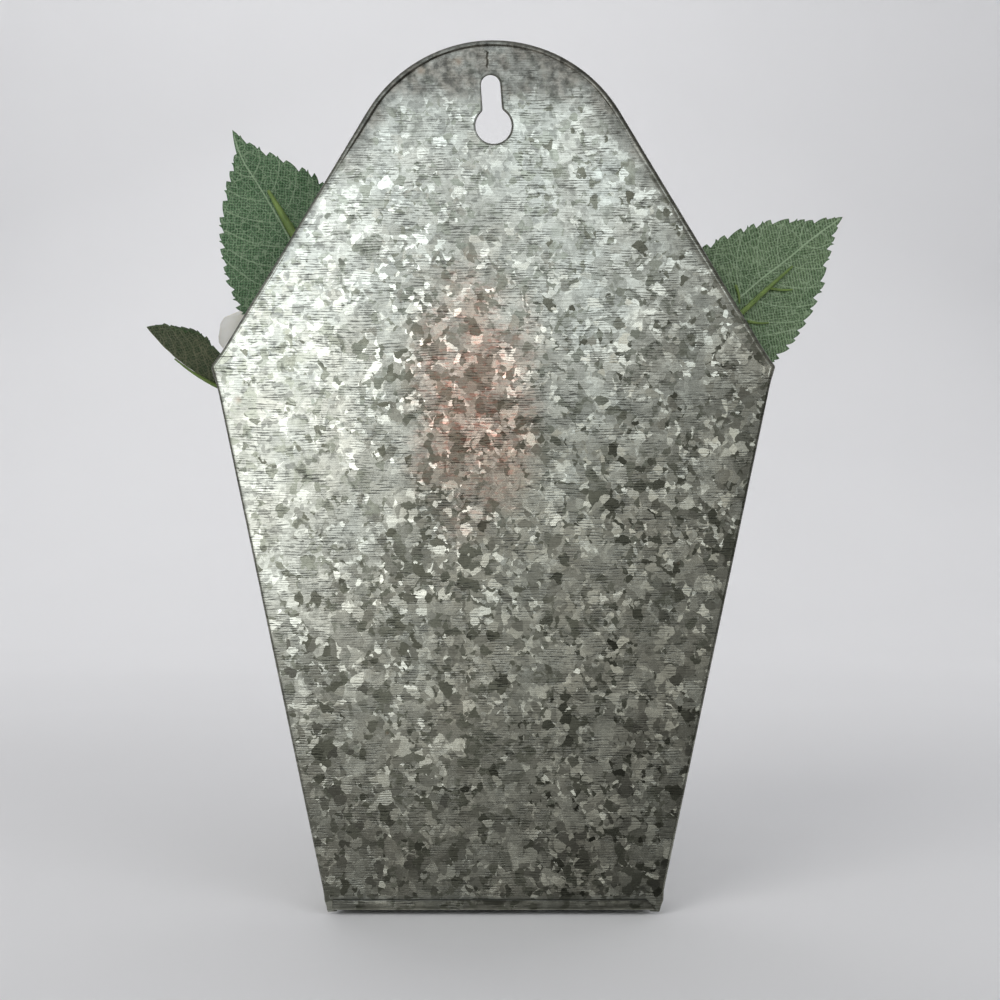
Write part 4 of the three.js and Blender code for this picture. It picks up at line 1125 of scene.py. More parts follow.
def plastic_material(name, c1, c2, rough=0.42, mould=0.6):
    """Moulded polythene with a waxy sheen, faint mould lines and scuffs."""
    k = Mat(name)
    P = k.coords()
    n = k.noise(P, 0.16, 3.0, 0.6)
    fine = k.noise(P, 1.8, 3.0, 0.65)
    col = k.mix(k.remap(n, 0.3, 0.7), c1, c2)
    col = k.mix(k.math("MULTIPLY", k.remap(fine, 0.56, 0.72), 0.28), col, tuple(min(1.0, c * 1.9 + 0.03) for c in c2))
    col = k.mix(k.math("MULTIPLY", k.remap(fine, 0.42, 0.30), 0.35), col, tuple(c * 0.45 for c in c1))
    h = k.math("ADD", k.math("MULTIPLY", fine, 0.6), k.math("MULTIPLY", k.noise(k.vec("MULTIPLY", P, (1.0, 1.0, 0.12)), 2.2, 2.0), mould))
    return k.principled(Base_Color=col, Roughness=k.remap(fine, 0.3, 0.7, rough - 0.07, rough + 0.12), Specular_IOR_Level=0.45, Subsurface_Weight=0.1,
                        Subsurface_Radius=(0.5, 1.0, 0.3), Subsurface_Scale=0.0008, Normal=k.bump(h, 0.00012, 0.45))


def foam_material():
    """Dry floral foam: crumbly, open-celled, dusty green."""
    k = Mat("foam")
    P = k.coords()
    cell = k.cells(P, 1.6, out="Distance")
    pore = k.remap(k.cells(k.vec("ADD", P, (5, 5, 5)), 0.7, out="Distance"), 0.25, 0.05)
    n = k.noise(P, 0.09, 4.0, 0.65)
    col = k.mix(k.remap(n, 0.3, 0.7), (0.062, 0.112, 0.052), (0.120, 0.190, 0.095))
    # painted shade: the pores are darkened
    col = k.mix(k.math("MULTIPLY", pore, 0.65), col, (0.02, 0.045, 0.02))
    col = k.mix(k.math("MULTIPLY", k.remap(cell, 0.5, 0.9), 0.4), col, (0.20, 0.30, 0.15))
    h = k.math("SUBTRACT", k.math("MULTIPLY", cell, 0.5), k.math("MULTIPLY", pore, 1.0))
    return k.principled(Base_Color=col, Roughness=0.97, Specular_IOR_Level=0.1, Normal=k.bump(h, 0.0004, 0.9))


M_LEAF = leaf_material()
M_PETAL = petal_material()
M_SPRIG = plastic_material("sprig_plastic", (0.105, 0.165, 0.040), (0.185, 0.270, 0.070))
M_STEM = plastic_material("stem_plastic", (0.070, 0.130, 0.035), (0.130, 0.205, 0.055), 0.5, 1.0)
M_CALYX = plastic_material("calyx_plastic", (0.085, 0.150, 0.040), (0.150, 0.235, 0.070), 0.46)
M_FOAM = foam_material()

# ------------------------------------------------------------------ roses' places, stems and leaves, as in the CAD model
ROSES = {
    "left": ((62.0, -44.0, -76.0), (0.3, -0.72, 0.62), 1.0),
    "centre": ((0.0, -42.0, -60.0), (0.0, -0.72, 0.69), 0.92),
    "right": ((-60.0, -44.0, -76.0), (-0.3, -0.72, 0.62), 1.0),
}
STEMS = {
    "left": [(17, -11.5, -264), (19, -11.5, -230), (38, -11, -165), (51, -12, -122), (55.5, -22, -99)],
    "centre": [(0, -11.5, -264), (0, -11.5, -230), (0, -11, -165), (0, -12.5, -115), (0, -22, -88)],
    "right": [(-17, -11.5, -264), (-19, -11.5, -230), (-38, -11, -165), (-51, -12, -122), (-55.5, -22, -99)],
}
CALYX_H = 10.0
COLLAR = {"left": 0.885, "centre": 0.87, "right": 0.885}
LEAF_W = [[0, 0.03], [0.05, 0.19], [0.1, 0.28], [0.2, 0.365], [0.28, 0.385], [0.4, 0.36], [0.5, 0.325], [0.6, 0.275], [0.7, 0.205], [0.8, 0.128], [0.9, 0.05], [0.97, 0.012], [1, 0.006]]
LEAVES = {
    "left_high": dict(twig="left", b=(62.2, -20, -70.8), t=(91.05, -30, -8.75), n=(0.1, -1, -0.1), sag=2, fold=6, off=-2.2),
    "left_low": dict(twig="left", b=(92.2, -36, -98.6), t=(120.5, -29, -76.9), n=(-0.35, -0.15, 1), sag=-2.5, fold=38, off=0),
    "left_front": dict(twig="left", b=(33, -74, -89.6), t=(35, -114, -119), n=(0, -0.6, 1), sag=5, fold=10, off=0),
    "centre_left": dict(twig="centre", b=(22, -22, -70), t=(33, -14, -20), n=(0.1, -1, 0.05), sag=-1, fold=10, off=0),
    "centre_right": dict(twig="centre", b=(-24, -22, -72), t=(-38, -14, -23), n=(-0.1, -1, 0.05), sag=-1, fold=10, off=0),
    "centre_front": dict(twig="centre", b=(0, -76, -85), t=(-4, -124, -103), n=(0, -0.3, 1), sag=4, fold=16, off=0),
    "right_high": dict(twig="right", b=(-65.5, -17, -78.6), t=(-120.4, -28, -39), n=(-0.12, -1, -0.1), sag=2, fold=6, off=3.0),
    "right_front": dict(twig="right", b=(-33, -74, -89.6), t=(-38, -112, -117), n=(0, -0.6, 1), sag=5, fold=10, off=0),
    "right_inner": dict(twig="right", b=(-42, -13, -66), t=(-24, -9, -30), n=(0, -1, 0.1), sag=1, fold=8, off=0),
}
STALKS = {
    "left_high": [(57, -24.5, -84)],
    "left_low": [(66, -27, -88.5), (78, -32, -87.4), (85.8, -34.8, -89.2), (88.6, -35.7, -93.6), (90.6, -36.4, -99.4)],
    "left_front": [(47, -38, -88), (36, -62, -88.5)],
    "centre_left": [(9, -24, -78)],
    "centre_right": [(-9, -24, -78)],
    "centre_front": [(0, -50, -84)],
    "right_high": [(-58, -22.5, -86)],
    "right_front": [(-47, -38, -88), (-36, -62, -88.5)],
    "right_inner": [(-51, -20, -80)],
}


def leaf_w(s):
    return float(np.interp(s, [a for a, _ in LEAF_W], [b for _, b in LEAF_W]))


def unit(v):
    v = np.asarray(v, float)
    return v / np.linalg.norm(v)


class Leaf:
    def __init__(self, name):
        L = LEAVES[name]
        self.name, self.L = name, L
        self.B, T = np.array(L["b"], float), np.array(L["t"], float)
        self.len = np.linalg.norm(T - self.B)
        self.t = (T - self.B) / self.len
        n = np.array(L["n"], float)
        self.n = unit(n - self.t * np.dot(n, self.t))
        self.s = unit(np.cross(self.n, self.t))
        self.f = math.radians(L["fold"])

    def point(self, s, u, h=0.0):
        """A point of the leaf: s from base to tip, u mm across, h mm above its upper side's normal."""
        L = self.L
        slope = L["sag"] * 4 * (1 - 2 * s) / self.len
        nn = unit(self.n - self.t * slope)
        return self.B + self.t * s * self.len + self.n * L["sag"] * 4 * s * (1 - s) + self.s * u * math.cos(self.f) + nn * (abs(u) * math.sin(self.f) + h)

    def pixel(self, s, u, h=0.0):
        p = self.point(s, u, h)
        k = (CAM.y - p[1]) / (CAM.y + 0.65)
        return np.array([500.0 - (p[0] - CAM.x) / k / PX, 500.0 - (p[2] - CAM.z) / k / PX])

    def find(self, px, py, h=0.0, start=(0.6, 0.0)):
        """(s, u) of the leaf's point that is seen at a pixel."""
        q = np.array(start, float)
        for _ in range(25):
            e = self.pixel(q[0], q[1], h) - (px, py)
            a = (self.pixel(q[0] + 1e-3, q[1], h) - self.pixel(q[0], q[1], h)) / 1e-3
            b = (self.pixel(q[0], q[1] + 1e-2, h) - self.pixel(q[0], q[1], h)) / 1e-2
            m = np.array([a, b]).T
            q = q - np.linalg.lstsq(m, e, rcond=None)[0] * 0.8
        return q


# tips of the teeth along the margins that show beside the back panel, as pixels of the frame, and the leaf's tip
TEETH = {
    "left_high": dict(tip=(232.3, 130.0), plus=[(249.4, 142.4), (269.6, 151.5), (286.2, 160.6), (302, 167.8), (314.4, 173), (322.7, 181.4)],
                      minus=[(234, 155.7), (229.8, 171.4), (226.5, 181.4), (222.8, 200.8), (219.4, 217), (219.4, 234.4), (220.2, 249.4), (223.2, 266.8), (225.7, 280.9), (231.5, 292.5), (235.6, 307.4), (241.4, 314)]),
    "right_high": dict(tip=(842.7, 217.0), plus=[(826, 217.8), (812.8, 220), (804.8, 219), (789, 218.1), (770.4, 220), (753.7, 223.9), (741, 228.1), (724.4, 235), (706.6, 244.8)],
                       minus=[(838.1, 227.6), (834.9, 237.9), (831.4, 251.7), (826.6, 267.7), (825.5, 282.4), (817.4, 301.6), (812.9, 311.4), (806.2, 323.4), (800.4, 332.6), (795.9, 340), (789.3, 348.7), (779, 359), (774.4, 361.9)]),
    "left_low": dict(tip=(146.9, 326.8), near=[(163.3, 323.7), (171.4, 324.5), (181.3, 326.4), (188.6, 329.1), (195.5, 332.1), (204.7, 338.3), (212.7, 345.9)]),
}


def margin(leaf, side, rnd):
    """The serrated margin on one side (+1 or -1 across), from base to tip, as (s, u)."""
    n = leaf.len
    count = max(9, int(n / 4.6))
    tips = []
    for i in range(count):
        s = 0.06 + 0.92 * (i + 0.25 * rnd.random()) / count
        tips.append((s, leaf_w(s) * n * (1 + 0.05 * (rnd.random() - 0.5))))
    traced = TEETH.get(leaf.name)
    end = (1.0, 0.0)
    if traced:
        pts = []
        groups = [traced[g] for g in ("plus", "minus", "near") if g in traced]
        for g in groups:
            q = [leaf.find(px, py, 0.0, (0.7, side * 6.0)) for px, py in g]
            if np.sign(np.mean([v[1] for v in q])) == side:
                pts = sorted([(float(v[0]), abs(float(v[1]))) for v in q if v[0] < 0.985])
        if pts:
            first = pts[0]
            low = [(s, w) for s, w in tips if s < first[0] - 0.04]
            # the hidden part runs smoothly into the traced part
            ratio = first[1] / max(leaf_w(first[0]) * n, 1e-6)
            low = [(s, w * (1 + (ratio - 1) * min(1.0, s / first[0]))) for s, w in low]
            tips = low + pts
        e = leaf.find(*traced["tip"], 0.0, (0.95, 0.0))
        end = (float(e[0]), float(e[1]) * side)
    depth = 0.025 * n * (0.95 if traced else 0.8)
    line = [(0.0, 0.35), (0.012, leaf_w(0.012) * n * 0.8)]
    prev = np.array([0.012 * n, leaf_w(0.012) * n * 0.8])
    pts = [np.array([s * n, w]) for s, w in tips] + [np.array([end[0] * n, end[1]])]
    out = [np.array([0.0, 0.35]), prev]
    for k, q in enumerate(pts):
        d = q - prev
        size = np.linalg.norm(d)
        if size < 0.3:
            continue
        t = d / size
        inward = np.array([t[1], -t[0]])
        if inward[1] > 0:
            inward = -inward
        if k > 0:
            dep = min(depth, 0.40 * size) * (0.8 + 0.4 * rnd.random()) * (0.5 if k == len(pts) - 1 else 1.0)
            notch = prev + t * size * 0.06 + inward * dep
            steps = [notch + (q - notch) * w - inward * dep * 0.22 * math.sin(math.pi * w) for w in (0.0, 0.16, 0.34, 0.52, 0.70, 0.86)]
            if size > 4.2 and rnd.random() < 0.6:
                # a smaller tooth in between
                steps = steps[:3] + [notch + (q - notch) * 0.50 - inward * dep * 0.62, notch + (q - notch) * 0.53 - inward * dep * 0.02] + steps[4:]
            out += steps
        else:
            out += [prev + d * w for w in (0.35, 0.7)]
        out.append(q)
        prev = q
    return np.array(out)


def build_leaf(name, seed):
    rnd = random.Random(seed)
    leaf = Leaf(name)
    n = leaf.len
    a, b = margin(leaf, 1, rnd), margin(leaf, -1, rnd)
    loop = np.vstack([a, (b * [1, -1])[::-1][1:]])
    keep = [0]
    for i in range(1, len(loop)):
        if np.linalg.norm(loop[i] - loop[keep[-1]]) > 0.05 and np.linalg.norm(loop[i] - loop[0]) > 0.05:
            keep.append(i)
    loop = loop[keep]
    tip = a[-1]
    # midrib, a little off the fold's line where the print and the rib differ, and side veins
    def even(line, gap=0.5):
        seg = np.concatenate([[0], np.cumsum(np.linalg.norm(np.diff(line, axis=0), axis=1))])
        want = np.linspace(0, seg[-1], max(3, int(seg[-1] / gap)))
        return np.stack([np.interp(want, seg, line[:, c]) for c in range(2)], 1)
    mid = np.stack([np.linspace(0.0, tip[0] * 0.985, 60), np.linspace(0.0, 1.0, 60) ** 3 * tip[1]], 1)
    printed = {"left_high": [(289.5, 238.6), (276.2, 214.5), (256.3, 181.4), (241.4, 159.8)], "right_high": [(740.5, 297.6), (758.9, 280.4), (784.1, 262.0), (814.0, 236.7)]}.get(name)
    if printed:
        q = np.array([leaf.find(px, py, -0.16, (0.6, 0.0)) for px, py in printed]) * [n, 1]
        q = np.vstack([[[0.0, q[0][1] * 0.4]], q, [tip]])
        xs = np.linspace(0, tip[0] * 0.985, 60)
        ys = np.interp(xs, q[:, 0], q[:, 1])
        ys = np.convolve(np.pad(ys, 4, mode="edge"), np.ones(9) / 9, "valid")
        mid = np.stack([xs, ys], 1)
    mid = even(mid)
    veins = []
    for sgn in (1, -1):
        for i in range(7):
            s0 = 0.05 + 0.135 * i + (0.02 if sgn > 0 else 0.0) + 0.015 * rnd.random()
            w = leaf_w(min(s0 + 0.1, 0.99)) * n
            if s0 > 0.86:
                continue
            r = np.linspace(0, 1, 22)
            along = s0 * n + r * w * (0.55 + 0.12 * rnd.random()) + 0.55 * w * r ** 2
            along = along + 0.35 * np.sin(r * 9 + i * 2.1 + sgn) * r
            across = sgn * w * (r * 0.94 - 0.02 * r ** 2 + 0.10 * np.sin(math.pi * r)) + np.interp(s0 * n, mid[:, 0], mid[:, 1]) * (1 - r)
            v = np.stack([along, across], 1)
            v = v[inside(v, loop)]
            if len(v) > 3:
                veins.append(even(v[1:]))
    step = 1.0
    gx, gy = np.meshgrid(np.arange(0, n, step), np.arange(-0.5 * n, 0.5 * n, step * 0.9))
    gx = gx + (np.arange(gy.shape[0]) % 2)[:, None] * step / 2
    g = np.stack([gx.ravel(), gy.ravel()], 1)
    g = g[inside(g, loop)]
    g = g[distance(g, loop) > 0.55]
    lines = [mid[1:-1]] + veins
    near = np.min([distance(g, v, closed=False) for v in lines], axis=0)
    g = g[near > 0.5]
    extra = np.concatenate([g] + lines)
    extra = extra[inside(extra, loop)]
    extra = extra[distance(extra, loop) > 0.3]
    pts, tris = triangulate([loop], extra)
    dm = distance(pts, mid, closed=False)
    dv = np.min([distance(pts, v, closed=False) for v in veins], axis=0)
    de = distance(pts, loop)
    m = len(pts)
    T = 0.32
    phase = rnd.random() * 6
    pos = {}
    verts = []
    for h in (T / 2, -T / 2):
        for i, (al, u) in enumerate(pts):
            s = al / n
            w = max(leaf_w(min(max(s, 0.0), 0.999)) * n, 1.0)
            rel = min(abs(u) / w, 1.2)
            lift = 0.55 * math.sin(al * 0.33 + phase + (1.7 if u > 0 else 0)) * rel ** 2 * math.sin(math.pi * min(max(s, 0), 1)) ** 0.5
            quilt = 0.16 * min(dv[i] / 2.2, 1.0) + 0.10 * min(dm[i] / 2.0, 1.0) + 0.10 * noise.noise(Vector((al * 0.25, u * 0.25, seed)))
            verts.append(leaf.point(s, u, h + lift + quilt - 0.2))
    faces = [tuple(t) for t in tris] + [tuple(int(i) + m for i in reversed(t)) for t in tris]
    # which way round the triangles face: the first surface is the upper side
    v0, v1, v2 = (np.array(verts[i]) for i in tris[0])
    if np.dot(np.cross(v1 - v0, v2 - v0), leaf.n) < 0:
        faces = [tuple(reversed(f)) for f in faces]
    nl = len(loop)
    flip = faces[0] == tuple(tris[0])
    for i in range(nl):
        j = (i + 1) % nl
        faces.append((i, i + m, j + m, j))
    area = 0.5 * abs(np.sum(loop[:, 0] * np.roll(loop[:, 1], -1) - np.roll(loop[:, 0], -1) * loop[:, 1]))
    uv = np.vstack([pts, pts])
    # the low left leaf is marked for painted shade
    attrs = {"under": [0.0] * m + [1.0] * m, "painted_leaf_shade": [1.0 if name == "left_low" else 0.0] * (2 * m), "kind": [1.0 if name.startswith("right") or name == "centre_front" else 0.0] * (2 * m), "vein_mid": list(dm) * 2, "vein_side": list(dv) * 2, "edge_mm": list(de) * 2}
    obj = make(f"leaf_{name}_cut", verts, faces, M_LEAF, "arrangement", f"leaf_{name}", attrs, uv, sharp=60)
    weld(obj, 0.001)
    width = loop[:, 1].max() - loop[:, 1].min()
    length = loop[:, 0].max() - loop[:, 0].min()
    return leaf, (width, length, area)


LEAF_OBJ, SIZES = {}, {}
for k_, name in enumerate(LEAVES):
    LEAF_OBJ[name], SIZES[f"leaf_{name}"] = build_leaf(name, 11 + k_)

# ------------------------------------------------------------------ stems, sprigs, calyxes and foam
STEM_PATH = {}
for name, (p, nrm, kk) in ROSES.items():
    p, nrm = np.array(p), unit(nrm)
    pts = [np.array(q, float) for q in STEMS[name]] + [p - nrm * (CALYX_H + 5) * kk, p - nrm * (CALYX_H + 0.4) * kk]
    path = catmull(pts, 70)
    STEM_PATH[name] = path
    bag = Bag()
    knot = np.array([1.0 + 0.10 * math.exp(-((i % 23) - 11) ** 2 / 3.0) for i in range(len(path))])
    tube(bag, path[1:-1], STEM_R * 0.97 * np.minimum(knot, 1.03)[1:-1], 16, lumps=0.05, seed=len(name))
    make(f"rose_stem_{name}_wire", bag.v, bag.f, M_STEM, "arrangement", f"rose_stem_{name}")


def rib_branches(leaf):
    """Side ribs of the moulded skeleton, as (s, u) pairs."""
    if leaf.name == "right_high":
        px = [((769.2, 288.4), (792.2, 289.6)), ((748.6, 321.7), (768.1, 322.9)), ((735.9, 286.1), (739.4, 303.3))]
        return [(leaf.find(*a, -0.5), leaf.find(*b, -0.5)) for a, b in px]
    if leaf.name in ("left_high", "left_low"):
        return []
    off = leaf.L["off"]
    out = []
    for s0, sgn in ((0.30, 1), (0.22, -1), (0.44, -1), (0.50, 1)):
        w = leaf_w(s0) * leaf.len
        out.append(((s0, off), (s0 + 0.085, off + sgn * w * 0.34)))
    return out


for name in STEMS:
    bag = Bag()
    path = STEM_PATH[name]
    seg = np.concatenate([[0], np.cumsum(np.linalg.norm(np.diff(path, axis=0), axis=1))])
    want = COLLAR[name] * seg[-1]
    at = np.array([np.interp(want, seg, path[:, c]) for c in range(3)])
    d = unit(np.array([np.interp(want + 0.5, seg, path[:, c]) for c in range(3)]) - at)
    a = unit(np.cross(d, [1, 0, 0]))
    b = np.cross(d, a)
    prof = [(STEM_R + 0.22, -3.0), (STEM_R + 0.75, -3.0), (STEM_R + 1.05, -2.7), (STEM_R + 1.25, -1.8), (STEM_R + 1.05, -1.2), (STEM_R + 1.35, -0.4), (STEM_R + 1.45, 0.5), (STEM_R + 1.1, 1.4), (STEM_R + 1.2, 2.2), (STEM_R + 0.85, 2.9), (STEM_R + 0.22, 3.0)]
    nn = 28
    verts = [at + d * h + (a * math.cos(2 * math.pi * j / nn) + b * math.sin(2 * math.pi * j / nn)) * r for r, h in prof for j in range(nn)]
    bag.add(verts, grid_faces(len(prof), nn, wrap_rows=True, wrap_cols=True))
    for key, leaf in LEAF_OBJ.items():
        if leaf.L["twig"] != name:
            continue
        off = leaf.L["off"]
        via = [np.array(v, float) for v in STALKS[key]]
        first = via[0] - at
        first = unit(first - d * np.dot(first, d))
        start = at + first * (STEM_R + 0.95)
        low = -(0.16 + 0.62)
        ribs = [leaf.point(s, off * min(1, max(s, 0) * 6), low) for s in (-0.03, 0.1, 0.25, 0.42, 0.6)]
        if key == "left_high":
            q1, q2 = leaf.find(292.8, 232.8, low), leaf.find(268.8, 191.3, low)
            s2, u2 = q2
            slope = (q1[1] - q2[1]) / (q1[0] - q2[0])
            ribs = [leaf.point(s, (q2[1] + slope * (s - s2)) * min(1, max(s, 0) * 6), low) for s in (-0.03, 0.1, 0.25, 0.42)] + [leaf.point(s2, u2, low)]
        elif key == "right_high":
            q1, q2 = leaf.find(742.2, 311.4, low), leaf.find(792.2, 266.6, low)
            slope = (q1[1] - q2[1]) / (q1[0] - q2[0])
            ribs = [leaf.point(s, (q2[1] + slope * (s - q2[0])) * min(1, max(s, 0) * 6), low) for s in (-0.03, 0.1, 0.25, 0.42)] + [leaf.point(q2[0], q2[1], low)]
        pth = catmull([start] + via + ribs, 60)
        thick = {"left_high": [1.15, 1.2, 1.4, 1.5, 0.6], "right_high": [1.1, 1.0, 0.95, 0.82, 0.36], "left_low": [1.0, 0.9, 0.8, 0.62, 0.3]}.get(key, [1.0, 0.9, 0.82, 0.66, 0.34])
        if key == "left_low":
            ribs = ribs[:3]
        r = np.interp(np.linspace(0, 1, 61), [0, 0.35, 0.6, 0.82, 1.0], thick)
        tube(bag, pth, r, 12, lumps=0.08, seed=len(key))
        for (s0, u0), (s1, u1) in rib_branches(leaf):
            n_ = 12
            line = []
            for w in np.linspace(0, 1, n_):
                s, u = s0 + (s1 - s0) * w, u0 + (u1 - u0) * w + 0.10 * (u1 - u0) * math.sin(math.pi * w)
                line.append(leaf.point(s, u, low + 0.12))
            tube(bag, np.array(line), np.linspace(0.55, 0.28, n_), 10)
    make(f"leaf_sprig_{name}_moulded", bag.v, bag.f, M_SPRIG, "arrangement", f"leaf_sprig_{name}")


def rose_axes(name):
    p, nrm, kk = ROSES[name]
    p, n_ = np.array(p), unit(nrm)
    a = unit(np.cross(n_, [0, 0, 1.0]))
    return p, n_, a, np.cross(n_, a), kk


def lathe_verts(profile, name, n=36):
    p, n_, a, b, kk = rose_axes(name)
    verts = []
    for r, h in profile:
        for j in range(n):
            w = 2 * math.pi * j / n
            verts.append(p + n_ * h * kk + (a * math.cos(w) + b * math.sin(w)) * max(r, 0.02) * kk)
    return verts, grid_faces(len(profile), n, wrap_cols=True)


def cap(verts, faces, n, rows):
    """Closes the two ends of a lathe."""
    faces = list(faces)
    faces.append(tuple(reversed(range(n))))
    faces.append(tuple((rows - 1) * n + i for i in range(n)))
    return faces


for name in ROSES:
    p, n_, a, b, kk = rose_axes(name)
    bag = Bag()
    prof = [(0.4, -10), (1.9, -10), (2.15, -9.6), (2.3, -8.2), (2.9, -7.2), (4.4, -5.4), (6.0, -3.2), (6.9, -1.6), (7.3, -0.6), (7.0, -0.42), (0.4, -0.42)]
    verts, faces = lathe_verts(prof, name)
    bag.add(verts, cap(verts, faces, 36, len(prof)))
    rnd = random.Random(3 + len(name))
    for i in range(5):
        w0 = 2 * math.pi * (i + 0.15 * rnd.random()) / 5
        nu, nv, top, low = 5, 12, [], []
        droop = 0.6 + 0.8 * rnd.random()
        for v in np.linspace(0, 1, nv):
            rr = 6.4 + 8.6 * v
            hh = -1.9 - 0.6 * math.sin(math.pi * v) - droop * 2.2 * v * v
            half = (2.1 * (1 - v) ** 0.7 + 0.12) * (1 + 0.25 * math.sin(v * 3.1))
            for u in np.linspace(-1, 1, nu):
                w = w0 + u * half / max(rr, 1)
                e = a * math.cos(w) + b * math.sin(w)
                q = p + (e * rr + n_ * (hh + 0.5 * (1 - u * u))) * kk
                top.append(q + n_ * 0.22)
                low.append(q - n_ * 0.22)
        g = grid_faces(nv, nu)
        m = len(top)
        fc = [tuple(reversed(f)) for f in g] + [tuple(i_ + m for i_ in f) for f in g]
        ring = [i_ for i_ in range(nu)] + [r * nu + nu - 1 for r in range(1, nv)] + [(nv - 1) * nu + i_ for i_ in range(nu - 2, -1, -1)] + [r * nu for r in range(nv - 2, 0, -1)]
        for k2 in range(len(ring)):
            x0, x1 = ring[k2], ring[(k2 + 1) % len(ring)]
            fc.append((x0, x1, x1 + m, x0 + m))
        bag.add(top + low, fc)
    o = make(f"rose_calyx_{name}_moulded", bag.v, bag.f, M_CALYX, "arrangement", f"rose_calyx_{name}")
    weld(o, 0.0005)

# ------------------------------------------------------------------ petals
SHOWING = {"left": np.array([(246, 312), (242.5, 314.5), (234.1, 308.4), (226, 310.7), (217.3, 320.7), (216.8, 334), (217.3, 345.9), (218.8, 353.6), (219.0, 364.0), (262, 380), (272, 318)], float)}


def allowed(name, q, m=1.6):
    """Whether a point of a rose is hidden by the back panel from the rear, or in the part of a petal that shows."""
    k = (CAM.y - q[1]) / (CAM.y + 0.65)
    X, Z = CAM.x + (q[0] - CAM.x) / k, CAM.z + (q[2] - CAM.z) / k
    if Z < Z_CORNER:
        ok = abs(X) < side_x(Z) - m
    elif Z < -8.76:
        ok = abs(X) < 41.78 + (-8.76 - Z) * (X_CORNER - 41.78) / 84.14 - m
    else:
        ok = math.hypot(X, Z - (Z_TOP - R_ARCH)) < R_ARCH - m
    if not ok and name in SHOWING:
        ok = bool(inside(np.array([[493.5 - X / PX, 84.4 - Z / PX]]), SHOWING[name])[0])
    return ok


def reach(name, prof, curl):
    """For each direction round a rose, how much of a petal's length is kept."""
    p, n_, a, b, kk = rose_axes(name)
    rs, hs = [q[0] for q in prof], [q[1] for q in prof]
    vv = np.linspace(0, 1, len(prof))
    f = []
    for w in np.linspace(0, 2 * math.pi, 180, endpoint=False):
        e = a * math.cos(w) + b * math.sin(w)
        best = 1.0
        for v in (0.75, 0.88, 1.0):
            k = max(0.0, v - 0.72) / 0.28
            r0 = float(np.interp(v, vv, rs)) + curl[0] * k * k + 0.5
            h0 = float(np.interp(v, vv, hs)) - curl[1] * k * k
            while best > 0.55 and not allowed(name, p + (e * r0 * best + n_ * h0) * kk):
                best -= 0.01
        f.append(best)
    f = np.array(f)
    f = np.min([np.roll(f, i) for i in range(-2, 3)], axis=0)
    g = np.exp(-np.linspace(-1.6, 1.6, 7) ** 2)
    g /= g.sum()
    return sum(np.roll(f, i - 3) * g[i] for i in range(7))


def petal(bag, name, w0, half, prof, curl, ruffle, seed, kept, nu=25, nv=22, lean=0.5, tip=0.0, T=0.34):
    """One petal as a thin closed cloth shell. prof: (r, h) from base to rim at the middle, half: half angle at the rim."""
    p, n_, a, b, kk = rose_axes(name)
    rs, hs = [q[0] for q in prof], [q[1] for q in prof]
    vv = np.linspace(0, 1, len(prof))
    pts, uv, depth, edge = [], [], [], []
    for iv in range(nv):
        for iu in range(nu):
            u = -1 + 2 * iu / (nu - 1)
            v = iv / (nv - 1)
            rim = 1 - 0.20 * abs(u) ** 3.2 + tip * math.exp(-(u / 0.16) ** 2) + 0.022 * math.sin(u * 7 + seed) + 0.018 * math.sin(u * 15 + seed * 2)
            s = v * rim
            r = float(np.interp(s, vv, rs)) if s <= 1 else rs[-1] + (s - 1) * (rs[-1] - rs[-2]) * (len(rs) - 1)
            h = float(np.interp(s, vv, hs)) if s <= 1 else hs[-1] + (s - 1) * (hs[-1] - hs[-2]) * (len(rs) - 1)
            wide = half * (0.42 + 0.58 * math.sin(min(1.0, v * 1.12) * math.pi / 2))
            w = w0 + u * wide
            # the rim rolls back, the sides sit over and under the neighbours, the edge ruffles
            k = max(0.0, s - 0.72) / 0.28
            r += curl[0] * k * k + lean * u * (0.4 + 0.6 * v)
            h += -curl[1] * k * k + ruffle * math.sin(u * 5.2 + seed * 1.3) * v ** 3 + ruffle * 0.5 * math.sin(u * 11 + seed) * v ** 5
            h += 0.35 * noise.noise(Vector((u * 2.0 + seed, v * 2.5, seed * 0.7))) * (0.3 + v)
            e = a * math.cos(w) + b * math.sin(w)
            f = float(np.interp(w % (2 * math.pi), np.linspace(0, 2 * math.pi, 181), kept))
            r *= 1 - (1 - f) * float(smooth(0.25, 1.0, v))
            pts.append(p + (e * r + n_ * h) * kk)
            uv.append((u * wide * r, v * 34.0))
            depth.append(v)
            edge.append(min(1 - v, (1 - abs(u)) * wide) * 26.0)
    P = np.array(pts).reshape(nv, nu, 3)
    du = np.gradient(P, axis=1)
    dv = np.gradient(P, axis=0)
    nr = np.cross(du, dv)
    nr /= np.maximum(np.linalg.norm(nr, axis=2, keepdims=True), 1e-9)
    top = (P + nr * T / 2).reshape(-1, 3)
    low = (P - nr * T / 2).reshape(-1, 3)
    g = grid_faces(nv, nu)
    m = nu * nv
    fc = list(g) + [tuple(i + m for i in reversed(f)) for f in g]
    ring = [i for i in range(nu)] + [r * nu + nu - 1 for r in range(1, nv)] + [(nv - 1) * nu + i for i in range(nu - 2, -1, -1)] + [r * nu for r in range(nv - 2, 0, -1)]
    for k2 in range(len(ring)):
        x0, x1 = ring[k2], ring[(k2 + 1) % len(ring)]
        fc.append((x1, x0, x0 + m, x1 + m))
    bag.add(list(top) + list(low), fc, {"depth": depth * 2, "edge_mm": edge * 2}, uv * 2)
    quad = P
    area = 0.0
    for i in range(nv - 1):
        d1 = quad[i + 1, 1:] - quad[i, :-1]
        d2 = quad[i + 1, :-1] - quad[i, 1:]
        area += 0.5 * np.linalg.norm(np.cross(d1, d2), axis=1).sum()
    return area


